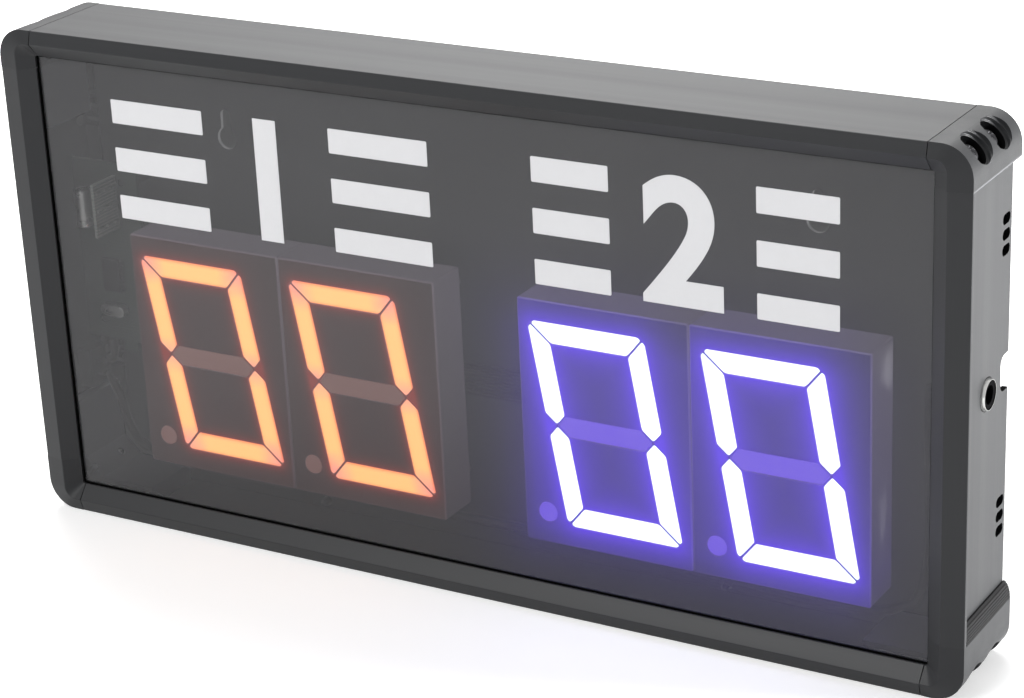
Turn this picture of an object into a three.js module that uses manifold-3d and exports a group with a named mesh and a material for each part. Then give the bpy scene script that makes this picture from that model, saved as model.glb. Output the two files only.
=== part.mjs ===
// An electronic scoreboard: an extruded frame with moulded corner pieces, a smoked front panel
// and two pairs of seven-segment digits. Millimetres, +Z up, the panel faces -Y.
import * as THREE from 'three';
import { mergeVertices } from 'three/addons/utils/BufferGeometryUtils.js';
import Module from 'manifold-3d';

const wasm = await Module();
wasm.setup();

// Case, measured from the front edge of its rim
const case_width = 380;
const case_height = 192;
const case_depth = 41.5;

// Front lip: it rises from the rim to a ridge, then falls to the panel
const ridge_rise = 1.4;
const side_ridge_inset = 8;
const side_bevel_inset = 13.9;
const cap_ridge_inset = 4.8;
const cap_bevel_inset = 10.1;
const bevel_drop = 2.9;
const lip_edge = 0.8;

// Rail walls, and the ledges inside them
const side_recess = 2.8;
const rim_depth = 2;
const side_wall = 2;
const cap_wall = 2.2;
const ledge_thickness = 1.6;
const ledge_overlap = 2;
const flange_thickness = 1.5;
const flange_reach = 6;

// Clearances
const seat_gap = 0.3;
const window_gap = 0.15;
const overrun = 1;

// Corner pieces
const corner_span = 15;
const foot_span = 20.5;
const corner_radius = 11;
const corner_wall = 6.5;
const ridge_radius = 4.5;
const bevel_radius = 0.8;
const collar_step = 2.1;
const collar_steps = 3;
const corner_arc_steps = 6;

// Pockets in the corner pieces, on a 45 degree axis
const pocket_radius = 7;
const pocket_step = 0.7;
const pocket_step_depth = 1.4;
const pocket_steps = 2;
const pocket_bore_depth = 5.3;
const pocket_front = 12.2;
const pocket_back_margin = 12.9;

// Corner screws
const corner_screw_radius = 1.5;
const corner_screw_head_radius = 3.1;
const corner_screw_head_height = 2.1;
const corner_screw_length = 10;
const cross_slot_width = 0.9;
const cross_slot_depth = 1.1;
const cross_slot_length = 3.8;

// Corner brackets, which join the rails inside the corners
const bracket_leg = 34;
const bracket_thickness = 3;
const bracket_gusset = 7.2;
const bracket_margin = 2;

// Front panel and its gasket
const gasket_thickness = 0.7;
const gasket_setback = 0.8;
const gasket_width = 2.4;
const panel_thickness = 2.8;
const panel_side_inset = 9;
const panel_cap_inset = 7.2;

// Seven-segment modules
const module_height = 92.3;
const module_front = 13;
const module_centre_height = 67.2;
const module_wall = 1.5;
const module_face = 1.6;
const left_bay = 41.15;
const right_bay = 38.75;
const pair_gap = 33.9;
const board_bay = 9;
const digit_side_margin = 10.5;
const digit_height = 76.2;
const segment_width = 7.4;
const segment_gap = 0.9;
const segment_corner_cut = 2.4;
const digit_lean_degrees = -10;
const point_radius = 3.7;
const point_margin = 9.1;
const point_offset_z = 34.3;
const diffuser_plate = 1;

// Light source boards in the modules, with their pins
const board_thickness = 1.6;
const led_size = 3;
const led_height = 1.2;
const leds_per_segment = 3;
const led_pitch_share = 0.3;
const pin_size = 0.64;
const pin_hole_size = 1.3;
const pin_pitch = 2.54;
const pins_per_row = 5;
const pin_row_offset = 34;
const pin_stub = 1.2;

// Display boards behind each pair of modules
const display_board_side_margin = 2.55;
const display_board_cap_margin = 3.15;
const post_margin = 6;
const post_radius = 3.5;
const stake_radius = 1.2;
const stake_hole_radius = 1.5;
const header_length = 16;
const header_width = 6;
const header_height = 2.4;
const header_edge_offset = 11;

// Controller board at the left, with what it carries
const controller_left = 8;
const controller_gap = 3.15;
const controller_low = 64;
const controller_height = 72;
const controller_bay = 16;
const controller_post_inset = 7.5;
const chip_length = 13;
const chip_width = 7.6;
const chip_thickness = 1.8;
const chip_height_on_board = 27;
const chip_leg_size = 0.7;
const chip_leg_reach = 1.4;
const chip_legs = 8;
const crystal_length = 11.4;
const crystal_width = 4.6;
const crystal_thickness = 3.5;
const crystal_height_on_board = 13;
const capacitor_radius = 3.15;
const capacitor_length = 14.8;
const capacitor_inset = 6.2;
const capacitor_low = 46.5;
const capacitor_groove = 0.5;
const capacitor_groove_place = 2.5;
const receiver_thickness = 1.2;
const receiver_inset = 19.3;
const receiver_height = 21;
const receiver_low = 46.4;
const receiver_gap = 2.8;
const receiver_part_size = 2.4;
const receiver_part_thickness = 0.9;
const receiver_part_rows = 3;

// Power socket in the right rail
const socket_height = 101.8;
const socket_depth_place = 22.4;
const socket_hole_radius = 6.3;
const socket_ring_radius = 6;
const socket_ring_wall = 0.5;
const socket_ring_proud = 1.3;
const socket_flange_radius = 8;
const socket_flange_thickness = 1.6;
const socket_body_length = 13;
const socket_bore_radius = 3.2;
const socket_bore_depth = 9.5;
const socket_pin_radius = 0.45;
const socket_pin_recess = 4.8;
const socket_tail = 4;

// Vents and the cable notch in the side rails
const vent_length = 6.6;
const vent_width = 3.6;
const vent_pitch = 5.3;
const vent_count = 3;
const vent_back_margin = 4.9;
const vent_cap_margin = 40.1;
const vent_low = 52.7;
const notch_width = 12.8;
const notch_depth = 7.1;
const notch_height = 103.7;
const notch_corner_radius = 3.2;

// Power switch in the left rail
const switch_height = 51;
const switch_back_margin = 17.5;
const rocker_half_length = 5.4;
const rocker_width = 6.4;
const rocker_valley = 2;
const rocker_peak = 3.1;
const rocker_base = 2.5;
const rocker_tilt_degrees = 8;
const rocker_pin_radius = 1;
const rocker_pin_reach = 0.9;
const switch_bezel = 1.2;
const switch_bezel_wall = 1.5;
const switch_floor_gap = 0.5;
const switch_base = 3;
const terminal_width = 4;
const terminal_thickness = 0.8;
const terminal_length = 4;
const terminal_pitch = 5;
const cutout_gap = 0.3;

// Back cover
const cover_thickness = 1.5;
const cover_edge_gap = 0.5;
const cover_notch_chamfer = 3;
const cover_screw_radius = 1.5;
const cover_screw_head_radius = 2.8;
const cover_screw_head_height = 1.2;
const cover_screw_length = 7;
const cover_screw_side_share = 0.62;
const cover_screw_cap_share = 0.45;
const keyhole_head_radius = 4.2;
const keyhole_slot_radius = 2.2;
const keyhole_slot_length = 9;
const keyhole_spacing = 240;
const keyhole_cap_margin = 46;

// Leads inside the case
const lead_radius = 1.8;
const lead_bend = 7.2;
const lead_sides = 8;
const lead_steps = 44;
const switch_lead_steps = 12;
const ribbon_thickness = 1;
const ribbon_width = 12.7;
const ribbon_back_gap = 1.2;

const fine_sides = 24;
const round_sides = 20;
const small_sides = 8;
const half_arc_steps = 4;
const notch_arc_steps = 2;
const merge_distance = 0.00001;

// Places that follow from the sizes above
const half_width = case_width / 2;
const mid_depth = (case_depth - ridge_rise) / 2;
const lip_back = bevel_drop + lip_edge;
const panel_front = lip_back + gasket_thickness;
const panel_back = panel_front + panel_thickness;
const ledge_front = panel_back + seat_gap;
const ledge_back = ledge_front + ledge_thickness;
const cover_front = case_depth - cover_thickness;
const flange_back = cover_front - seat_gap;
const flange_front = flange_back - flange_thickness;
const side_inner = side_recess + side_wall;
const module_back = cover_front - board_bay;
const module_width = (case_width - left_bay - right_bay - pair_gap - 2 * seat_gap) / 4;
const module_pitch = module_width + seat_gap;
const pair_width = module_pitch + module_width;
const pair_centres = [-half_width + left_bay + pair_width / 2, half_width - right_bay - pair_width / 2];
const digit_width = module_width - 2 * digit_side_margin;
const point_offset_x = module_width / 2 - point_margin;
const display_board_width = pair_width - 2 * display_board_side_margin;
const display_board_height = module_height - 2 * display_board_cap_margin;
const post_offset_x = display_board_width / 2 - post_margin;
const post_offset_z = display_board_height / 2 - post_margin;
const led_board_front = module_back - board_thickness;
const display_board_front = module_back + seat_gap;
const display_board_back = display_board_front + board_thickness;
const controller_front = cover_front - controller_bay;
const controller_back = controller_front + board_thickness;
const controller_width = left_bay - controller_left - controller_gap;
const receiver_reach = controller_front - seat_gap - panel_back - receiver_gap;
const vent_high = case_height - vent_cap_margin;
const keyhole_height = case_height - keyhole_cap_margin;
const controller_x = -half_width + controller_left;
const pocket_places = [pocket_front, case_depth - pocket_back_margin];
const lean = Math.tan(THREE.MathUtils.degToRad(digit_lean_degrees));
const quarter_turn = Math.PI / 2;

// The place along Y of a depth counted from the rim's front edge
const at = (depth) => depth - mid_depth;

// Turns a closed geometry into a solid that can be joined and cut
function solid(geometry) {
  const bare = new THREE.BufferGeometry();
  bare.setAttribute('position', geometry.getAttribute('position').clone());
  if (geometry.index) bare.setIndex(geometry.index.clone());
  const merged = mergeVertices(bare, merge_distance);
  const vertProperties = Float32Array.from(merged.getAttribute('position').array);
  const triVerts = Uint32Array.from(merged.index.array);
  return new wasm.Manifold(new wasm.Mesh({ numProp: 3, vertProperties, triVerts }));
}

// Turns a solid back into a geometry
function geometryOf(body) {
  const mesh = body.getMesh();
  const geometry = new THREE.BufferGeometry();
  geometry.setAttribute('position', new THREE.BufferAttribute(mesh.vertProperties, mesh.numProp));
  geometry.setIndex(new THREE.BufferAttribute(mesh.triVerts, 1));
  return geometry;
}

const join = (...bodies) => bodies.reduce((sum, body) => sum.add(body));
const cut = (body, ...tools) => tools.reduce((rest, tool) => rest.subtract(tool), body);

// Basis matrices that lay a flat outline across X, Y or Z
const across = {
  x: new THREE.Matrix4().set(0, 0, 1, 0, 1, 0, 0, 0, 0, 1, 0, 0, 0, 0, 0, 1),
  y: new THREE.Matrix4().set(1, 0, 0, 0, 0, 0, -1, 0, 0, 1, 0, 0, 0, 0, 0, 1),
  z: new THREE.Matrix4(),
};

// Extrudes an outline of [a, b] points between two places on an axis
function prism(axis, outline, low, high) {
  const shape = new THREE.Shape(outline.map(([a, b]) => new THREE.Vector2(a, b)));
  const geometry = new THREE.ExtrudeGeometry(shape, { depth: high - low, bevelEnabled: false });
  geometry.applyMatrix4(across[axis]);
  const shift = { x: [low, 0, 0], y: [0, high, 0], z: [0, 0, low] }[axis];
  return solid(geometry.translate(...shift));
}

function block(x0, x1, y0, y1, z0, z1) {
  const geometry = new THREE.BoxGeometry(x1 - x0, y1 - y0, z1 - z0);
  return solid(geometry.translate((x0 + x1) / 2, (y0 + y1) / 2, (z0 + z1) / 2));
}

// Turns a profile of [radius, place] points round a line along an axis through [a, b]
function turned(axis, a, b, profile, sides) {
  const points = profile.map(([radius, place]) => new THREE.Vector2(radius, place));
  const geometry = new THREE.LatheGeometry(points, sides);
  const turns = { x: [0, 0, -quarter_turn], y: [0, 0, 0], z: [quarter_turn, 0, 0] }[axis];
  geometry.rotateX(turns[0]);
  geometry.rotateZ(turns[2]);
  const shift = { x: [0, a, b], y: [a, 0, b], z: [a, b, 0] }[axis];
  return solid(geometry.translate(...shift));
}

function rod(axis, a, b, low, high, radius, sides = round_sides) {
  return turned(axis, a, b, [[0, low], [radius, low], [radius, high], [0, high]], sides);
}

// Mirrors a geometry to the left half or the lower half of the case
function placed(geometry, side, level) {
  if (level < 0) geometry.translate(0, 0, -case_height);
  geometry.scale(side, 1, level);
  if (side * level < 0) {
    const index = geometry.index.array;
    for (let i = 0; i < index.length; i += 3) [index[i], index[i + 1]] = [index[i + 1], index[i]];
  }
  return geometry;
}

const arc = (cx, cy, radius, start, end, steps) => Array.from({ length: steps + 1 }, (_, i) => {
  const angle = start + (end - start) * i / steps;
  return [cx + radius * Math.cos(angle), cy + radius * Math.sin(angle)];
});

// Finishes: a colour, a roughness and a metalness each
const finish = (color, roughness, metalness = 0) => ({ color, roughness, metalness });
const finishes = {
  frame: finish(0x3f4042, 0.45, 0.1),
  corner: finish(0x3b3c3e, 0.5),
  panel: finish(0x2c2c2e, 0.12),
  housing: finish(0x2a2a2c, 0.6),
  diffuser_warm: finish(0xffb070, 0.5),
  diffuser_cool: finish(0xdcdcff, 0.5),
  board: finish(0x1f2a24, 0.6),
  chip: finish(0x1a1a1c, 0.5),
  metal: finish(0xa9abae, 0.35, 0.9),
  screw: finish(0x2b2b2d, 0.4, 0.8),
  socket: finish(0x161617, 0.5),
  lead: finish(0x18181a, 0.6),
  ribbon: finish(0x8c8c90, 0.6),
  gasket: finish(0x0e0e0f, 0.9),
  cover: finish(0x303134, 0.6),
};

const scoreboard = new THREE.Group();

function add(name, body, look) {
  const geometry = body.isBufferGeometry ? body : geometryOf(body);
  const mesh = new THREE.Mesh(geometry, new THREE.MeshStandardMaterial(finishes[look]));
  mesh.name = name;
  scoreboard.add(mesh);
  return mesh;
}

// Rail section as [inset, depth] points; the insets count inwards from the outside
function railSection(ridge_inset, bevel_inset, recess, inner, ledge_reach) {
  const points = [
    [0, 0],
    [ridge_inset, -ridge_rise],
    [bevel_inset, bevel_drop],
    [bevel_inset, lip_back],
    [inner, lip_back],
    [inner, ledge_front],
    [ledge_reach, ledge_front],
    [ledge_reach, ledge_back],
    [inner, ledge_back],
    [inner, flange_front],
    [inner + flange_reach, flange_front],
    [inner + flange_reach, flange_back],
    [inner, flange_back],
    [inner, case_depth],
    [recess, case_depth],
  ];
  if (recess > 0) points.push([recess, rim_depth], [0, rim_depth]);
  return points;
}

const side_section = railSection(
  side_ridge_inset, side_bevel_inset, side_recess, side_inner, panel_side_inset + ledge_overlap);
const cap_section = railSection(
  cap_ridge_inset, cap_bevel_inset, 0, cap_wall, panel_cap_inset + ledge_overlap);

function sideRail(side) {
  const outline = side_section.map(([inset, depth]) => [side * (half_width - inset), at(depth)]);
  return prism('z', side > 0 ? outline : outline.reverse(),
    foot_span + seat_gap, case_height - corner_span - seat_gap);
}

function capRail(level) {
  const outline = cap_section.map(([inset, depth]) => [at(depth), level > 0 ? case_height - inset : inset]);
  const end = half_width - corner_span - seat_gap;
  return prism('x', level > 0 ? outline.reverse() : outline, -end, end);
}

// Oval vents through a side wall, near its back edge
function ventTools(side) {
  const outer = half_width - side_recess;
  const straight = (vent_length - vent_width) / 2;
  const place = at(case_depth - vent_back_margin);
  const radius = vent_width / 2;
  const oval = (z) => [
    ...arc(place + straight, z, radius, -quarter_turn, quarter_turn, half_arc_steps),
    ...arc(place - straight, z, radius, quarter_turn, 3 * quarter_turn, half_arc_steps),
  ];
  const deep = side * (outer - side_wall - flange_reach - overrun);
  const outside = side * (outer + overrun);
  const from = Math.min(deep, outside);
  const to = Math.max(deep, outside);
  const tools = [];
  for (const middle of [vent_high, vent_low]) {
    for (let i = 0; i < vent_count; i += 1) {
      tools.push(prism('x', oval(middle + (i - (vent_count - 1) / 2) * vent_pitch), from, to));
    }
  }
  return tools;
}

// Notch for a cable, open at the back edge of the right wall, its flange and the cover
const notch_outline = [
  [at(case_depth + overrun), notch_height - notch_width / 2],
  [at(case_depth + overrun), notch_height + notch_width / 2],
  ...arc(at(case_depth - notch_depth + notch_corner_radius), notch_height + notch_width / 2
    - notch_corner_radius, notch_corner_radius, quarter_turn, 2 * quarter_turn, notch_arc_steps),
  ...arc(at(case_depth - notch_depth + notch_corner_radius), notch_height - notch_width / 2
    + notch_corner_radius, notch_corner_radius, 2 * quarter_turn, 3 * quarter_turn, notch_arc_steps),
];
const notch_inner = half_width - side_inner - flange_reach - overrun;
const notchTool = () => prism('x', notch_outline.slice().reverse(), notch_inner, half_width + overrun);

const socketHole = () => rod('x', at(socket_depth_place), socket_height,
  half_width - side_inner - overrun, half_width + overrun, socket_hole_radius);

// The rocker turns in a well; its ends are arcs round the pivot
const rocker_radius = Math.hypot(rocker_half_length, rocker_peak);
const well_half_length = rocker_radius + seat_gap;
const well_half_width = rocker_width / 2 + seat_gap;
const body_half_length = well_half_length + switch_bezel_wall - cutout_gap;
const body_half_width = well_half_width + switch_bezel_wall - cutout_gap;
const tilt = THREE.MathUtils.degToRad(rocker_tilt_degrees);
const rocker_low_reach = rocker_base * Math.cos(tilt)
  + Math.sqrt(rocker_radius ** 2 - rocker_base ** 2) * Math.sin(tilt);
const wall_outside = -half_width + side_recess;
const pivot_x = wall_outside - switch_bezel + rocker_peak * Math.cos(tilt)
  - rocker_half_length * Math.sin(tilt);
const well_floor_x = pivot_x + rocker_low_reach + switch_floor_gap;
const switch_back_x = well_floor_x + switch_base;
const switch_y = at(case_depth - switch_back_margin);

const switchCutout = () => block(wall_outside - overrun, wall_outside + side_wall + overrun,
  switch_y - body_half_width - cutout_gap, switch_y + body_half_width + cutout_gap,
  switch_height - body_half_length - cutout_gap, switch_height + body_half_length + cutout_gap);

// Screw places in the cover and the flanges, as [x, z]
const cap_screw_z = cap_wall + flange_reach / 2;
const side_screw_x = half_width - side_inner - flange_reach / 2;
const cover_screws = [
  [-cover_screw_cap_share * case_width / 2, cap_screw_z],
  [cover_screw_cap_share * case_width / 2, cap_screw_z],
  [-cover_screw_cap_share * case_width / 2, case_height - cap_screw_z],
  [cover_screw_cap_share * case_width / 2, case_height - cap_screw_z],
  [-side_screw_x, cover_screw_side_share * case_height],
  [side_screw_x, cover_screw_side_share * case_height],
];
const flangeHoles = () => cover_screws.map(([x, z]) => rod('y', x, z, at(flange_front - overrun),
  at(flange_back + overrun), cover_screw_radius + seat_gap, small_sides));

add('top_rail', cut(capRail(1), ...flangeHoles()), 'frame');
add('bottom_rail', cut(capRail(-1), ...flangeHoles()), 'frame');
add('left_rail', cut(sideRail(-1), ...ventTools(-1), switchCutout(), ...flangeHoles()), 'frame');
add('right_rail', cut(sideRail(1), ...ventTools(1), notchTool(), socketHole(), ...flangeHoles()), 'frame');

// One rounded corner line of the corner piece, with its own insets and radius
function cornerLine(side_span, side_inset, cap_inset, radius, depth) {
  const x = half_width - side_inset;
  const z = case_height - cap_inset;
  const line = [
    [x, case_height - side_span],
    ...arc(x - radius, z - radius, radius, 0, quarter_turn, corner_arc_steps),
    [half_width - corner_span, z],
  ];
  return line.map(([px, pz]) => new THREE.Vector3(px, at(depth), pz));
}

// Joins closed section lines into one body with flat ends
function lofted(lines) {
  const stations = lines[0].length;
  const count = lines.length;
  const positions = lines.flatMap((line) => line.flatMap((point) => point.toArray()));
  const index = [];
  const id = (line, station) => (line % count) * stations + station;
  for (let line = 0; line < count; line += 1) {
    for (let s = 0; s + 1 < stations; s += 1) {
      index.push(id(line, s), id(line + 1, s + 1), id(line + 1, s));
      index.push(id(line, s), id(line, s + 1), id(line + 1, s + 1));
    }
  }
  for (const [station, flip] of [[0, true], [stations - 1, false]]) {
    const flat = lines.map((line) => new THREE.Vector2(
      station === 0 ? line[station].x : line[station].z, line[station].y));
    for (const [a, b, c] of THREE.ShapeUtils.triangulateShape(flat, [])) {
      const face = flip ? [a, c, b] : [a, b, c];
      index.push(...face.map((line) => id(line, station)));
    }
  }
  const geometry = new THREE.BufferGeometry();
  geometry.setAttribute('position', new THREE.Float32BufferAttribute(positions, 3));
  geometry.setIndex(index);
  return geometry;
}

// Tools on the 45 degree axis are made upright round the origin, then turned and moved
const corner_centre_x = half_width - corner_radius;
const corner_centre_z = case_height - corner_radius;
function onCornerAxis(profile, depth, sides) {
  const points = profile.map(([radius, place]) => new THREE.Vector2(radius, place));
  const geometry = new THREE.LatheGeometry(points, sides);
  return toCornerAxis(geometry, depth);
}
function toCornerAxis(geometry, depth) {
  geometry.rotateX(quarter_turn);
  geometry.rotateY(quarter_turn / 2);
  return geometry.translate(corner_centre_x, at(depth), corner_centre_z);
}

const pocket_floor = corner_radius - pocket_bore_depth;
const screw_hole_radius = corner_screw_radius + seat_gap;

// The pocket narrows in steps from its mouth to its bore
function pocketTools() {
  const profile = [[0, corner_radius + overrun], [pocket_radius, corner_radius + overrun]];
  for (let i = 0; i < pocket_steps; i += 1) {
    const height = corner_radius - (i + 1) * pocket_step_depth;
    profile.push([pocket_radius - i * pocket_step, height], [pocket_radius - (i + 1) * pocket_step, height]);
  }
  profile.push(
    [pocket_radius - pocket_steps * pocket_step, pocket_floor],
    [screw_hole_radius, pocket_floor],
    [screw_hole_radius, 0],
    [0, 0]);
  return pocket_places.map((depth) => solid(onCornerAxis(profile.slice().reverse(), depth, fine_sides)));
}

// The lower corner pieces reach further up, and a stepped collar laps the side rail above them
function cornerPiece(level) {
  const side_span = level > 0 ? corner_span : foot_span;
  const inner_radius = corner_radius - corner_wall;
  const lines = [
    cornerLine(side_span, 0, 0, corner_radius, 0),
    cornerLine(side_span, side_ridge_inset, cap_ridge_inset, ridge_radius, -ridge_rise),
    cornerLine(side_span, side_bevel_inset, cap_bevel_inset, bevel_radius, bevel_drop),
    cornerLine(side_span, side_bevel_inset, cap_bevel_inset, bevel_radius, lip_back),
    cornerLine(side_span, corner_wall, corner_wall, inner_radius, lip_back),
    cornerLine(side_span, corner_wall, corner_wall, inner_radius, case_depth),
    cornerLine(side_span, 0, 0, corner_radius, case_depth),
  ];
  const end = case_height - side_span;
  const collar = Array.from({ length: level > 0 ? 0 : collar_steps }, (_, i) => block(
    half_width - side_recess + seat_gap / 2,
    half_width - (i + 1) * side_recess / (collar_steps + 1),
    at(rim_depth + seat_gap),
    at(case_depth),
    end - (i + 1) * collar_step,
    end + collar_step));
  return cut(join(solid(lofted(lines)), ...collar), ...pocketTools());
}

// Bracket outline as [side inset, cap inset] points, with pads that reach the rail walls
function bracketOutline(side_span) {
  const near = corner_wall + seat_gap;
  const far = near + bracket_thickness;
  const end = near + bracket_leg;
  const pad = corner_span + overrun;
  const low_pad = side_span + overrun;
  const cap_pad = cap_wall + seat_gap;
  const side_pad = side_inner + seat_gap;
  const bend = corner_radius - near;
  return [
    [end, cap_pad],
    [pad, cap_pad],
    [pad, near],
    ...arc(corner_radius, corner_radius, bend, 3 * quarter_turn, 2 * quarter_turn, half_arc_steps),
    [near, low_pad],
    [side_pad, low_pad],
    [side_pad, end],
    [far, end],
    [far, far + bracket_gusset],
    [far + bracket_gusset, far],
    [end, far],
  ];
}

function bracket(level) {
  const outline = bracketOutline(level > 0 ? corner_span : foot_span)
    .map(([a, b]) => [half_width - a, case_height - b]);
  const front = at(ledge_back + bracket_margin);
  const back = at(flange_front - bracket_margin);
  const reach = corner_span;
  const hole = [[0, -reach], [screw_hole_radius, -reach], [screw_hole_radius, reach], [0, reach]];
  const holes = pocket_places.map((depth) => solid(onCornerAxis(hole, depth, small_sides)));
  return cut(prism('y', outline, front, back), ...holes);
}

function crossSlots(top) {
  const half = cross_slot_length / 2;
  const width = cross_slot_width / 2;
  const low = top - cross_slot_depth;
  const high = top + overrun;
  return [
    block(-half, half, low, high, -width, width),
    block(-width, width, low, high, -half, half),
  ];
}

function cornerScrew(depth) {
  const seat = pocket_floor + seat_gap;
  const top = seat + corner_screw_head_height;
  const profile = [
    [0, seat - corner_screw_length],
    [corner_screw_radius, seat - corner_screw_length + corner_screw_radius],
    [corner_screw_radius, seat],
    [corner_screw_head_radius, seat],
    [corner_screw_head_radius, seat + corner_screw_head_height / 2],
    [corner_screw_head_radius * Math.SQRT1_2, top],
    [0, top],
  ];
  const points = profile.map(([radius, place]) => new THREE.Vector2(radius, place));
  const screw = cut(solid(new THREE.LatheGeometry(points, small_sides)), ...crossSlots(top));
  return toCornerAxis(geometryOf(screw), depth);
}

for (const [level_name, level] of [['top', 1], ['bottom', -1]]) {
  for (const [side_name, side] of [['left', -1], ['right', 1]]) {
    const where = `${level_name}_${side_name}`;
    add(`corner_${where}`, placed(geometryOf(cornerPiece(level)), side, level), 'corner');
    add(`corner_bracket_${where}`, placed(geometryOf(bracket(level)), side, level), 'metal');
    pocket_places.forEach((depth, i) => {
      const row = i === 0 ? 'front' : 'back';
      add(`corner_screw_${where}_${row}`, placed(cornerScrew(depth), side, level), 'screw');
    });
  }
}

// Front panel, and the gasket between it and the lip
const panelBlock = (inset_side, inset_cap, front, back) => block(
  -half_width + inset_side, half_width - inset_side, at(front), at(back),
  inset_cap, case_height - inset_cap);
add('front_panel', panelBlock(panel_side_inset, panel_cap_inset, panel_front, panel_back), 'panel');
const gasket_side = side_bevel_inset - gasket_setback;
const gasket_cap = cap_bevel_inset - gasket_setback;
add('panel_gasket', cut(
  panelBlock(gasket_side - gasket_width, gasket_cap - gasket_width, lip_back, panel_front),
  panelBlock(gasket_side, gasket_cap, lip_back - overrun, panel_front + overrun)), 'gasket');

// Segment outlines round the digit's middle, grown by a clearance, with the digit's lean
function segmentOutlines(grow) {
  const hw = digit_width / 2 + grow;
  const hh = digit_height / 2 + grow;
  const t = segment_width + 2 * grow;
  const s = (segment_gap - 2 * grow) / Math.SQRT2;
  const c = segment_corner_cut;
  const top = [
    [-hw + c, hh],
    [-hw + (c + s) / 2, hh - (c - s) / 2],
    [-hw + t + s, hh - t],
    [hw - t - s, hh - t],
    [hw - (c + s) / 2, hh - (c - s) / 2],
    [hw - c, hh],
  ];
  const upper_left = [
    [-hw, hh - c],
    [-hw, t / 2 + s],
    [-hw + t / 2, s],
    [-hw + t, t / 2 + s],
    [-hw + t, hh - t - s],
    [-hw + (c - s) / 2, hh - (c + s) / 2],
  ];
  const middle = [
    [-hw + t / 2 + s, 0],
    [-hw + t + s, -t / 2],
    [hw - t - s, -t / 2],
    [hw - t / 2 - s, 0],
    [hw - t - s, t / 2],
    [-hw + t + s, t / 2],
  ];
  const turnedOver = (outline) => outline.map(([x, z]) => [-x, -z]);
  const flippedX = (outline) => outline.map(([x, z]) => [-x, z]).reverse();
  const all = [
    top,
    turnedOver(top),
    upper_left,
    turnedOver(upper_left),
    flippedX(upper_left),
    turnedOver(flippedX(upper_left)),
    middle,
  ];
  return all.map((outline) => outline.map(([x, z]) => [x + z * lean, z]));
}

// Middle lines of the segments, as [x, z, dx, dz]: a middle point and the way along the segment
function segmentLines() {
  const x = (digit_width - segment_width) / 2;
  const z = (digit_height - segment_width) / 2;
  const along = digit_width - 2 * segment_width;
  const up = digit_height / 2 - segment_width;
  const lines = [[0, z, along, 0], [0, 0, along, 0], [0, -z, along, 0]];
  for (const side of [-1, 1]) {
    for (const level of [-1, 1]) lines.push([side * x, level * z / 2, 0, up]);
  }
  return lines;
}

function moved(outline, x, z) {
  return outline.map(([a, b]) => [a + x, b + z]);
}

// The segments and the point between two depths, as separate solids
function segmentSolids(x, grow, front, back) {
  const z = module_centre_height;
  const bars = segmentOutlines(grow).map((outline) => prism('y', moved(outline, x, z), at(front), at(back)));
  const point = rod('y', x - point_offset_x, z - point_offset_z, at(front), at(back), point_radius + grow);
  return [...bars, point];
}

function moduleBlock(x, inset, front, back) {
  return block(x - module_width / 2 + inset, x + module_width / 2 - inset, at(front), at(back),
    module_centre_height - module_height / 2 + inset, module_centre_height + module_height / 2 - inset);
}

function housing(x) {
  const shell = cut(moduleBlock(x, 0, module_front, module_back),
    moduleBlock(x, module_wall, module_front + module_face, module_back + overrun));
  return cut(shell, ...segmentSolids(x, window_gap, module_front - overrun, module_front + module_face
    + overrun));
}

function diffuser(x) {
  const front = module_front + module_face + seat_gap;
  const plate = moduleBlock(x, module_wall + seat_gap, front, front + diffuser_plate);
  const bars = segmentSolids(x, 0, module_front, front + diffuser_plate / 2);
  return join(plate, ...bars);
}

function pinPlaces(x) {
  const places = [];
  for (const level of [-1, 1]) {
    for (let i = 0; i < pins_per_row; i += 1) {
      places.push([x + (i - (pins_per_row - 1) / 2) * pin_pitch,
        module_centre_height + level * pin_row_offset]);
    }
  }
  return places;
}

function squarePost(x, z, size, front, back) {
  return block(x - size / 2, x + size / 2, at(front), at(back), z - size / 2, z + size / 2);
}

function ledBoard(x) {
  const plate = moduleBlock(x, module_wall + seat_gap, led_board_front, module_back);
  const parts = [plate];
  const led = (px, pz) => squarePost(px + pz * lean + x, pz + module_centre_height, led_size,
    led_board_front - led_height, led_board_front + board_thickness / 2);
  for (const [px, pz, dx, dz] of segmentLines()) {
    for (let i = 0; i < leds_per_segment; i += 1) {
      const share = (i - (leds_per_segment - 1) / 2) * led_pitch_share;
      parts.push(led(px + dx * share, pz + dz * share));
    }
  }
  parts.push(squarePost(x - point_offset_x, module_centre_height - point_offset_z, led_size,
    led_board_front - led_height, led_board_front + board_thickness / 2));
  for (const [px, pz] of pinPlaces(x)) {
    parts.push(squarePost(px, pz, pin_size, module_back - board_thickness / 2,
      display_board_back + pin_stub));
  }
  return join(...parts);
}

// Places of the cover's posts, as [x, z]
const displayPosts = (x) => [[-1, -1], [1, -1], [-1, 1], [1, 1]].map(([side, level]) => [
  x + side * post_offset_x, module_centre_height + level * post_offset_z]);
const controller_posts = [
  [controller_x + controller_post_inset, controller_low + controller_post_inset],
  [controller_x + controller_width - controller_post_inset,
    controller_low + controller_height - controller_post_inset],
];

const header_z = module_centre_height;
function header(x, front, back) {
  return block(x - header_width / 2, x + header_width / 2, at(front), at(back),
    header_z - header_length / 2, header_z + header_length / 2);
}

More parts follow.
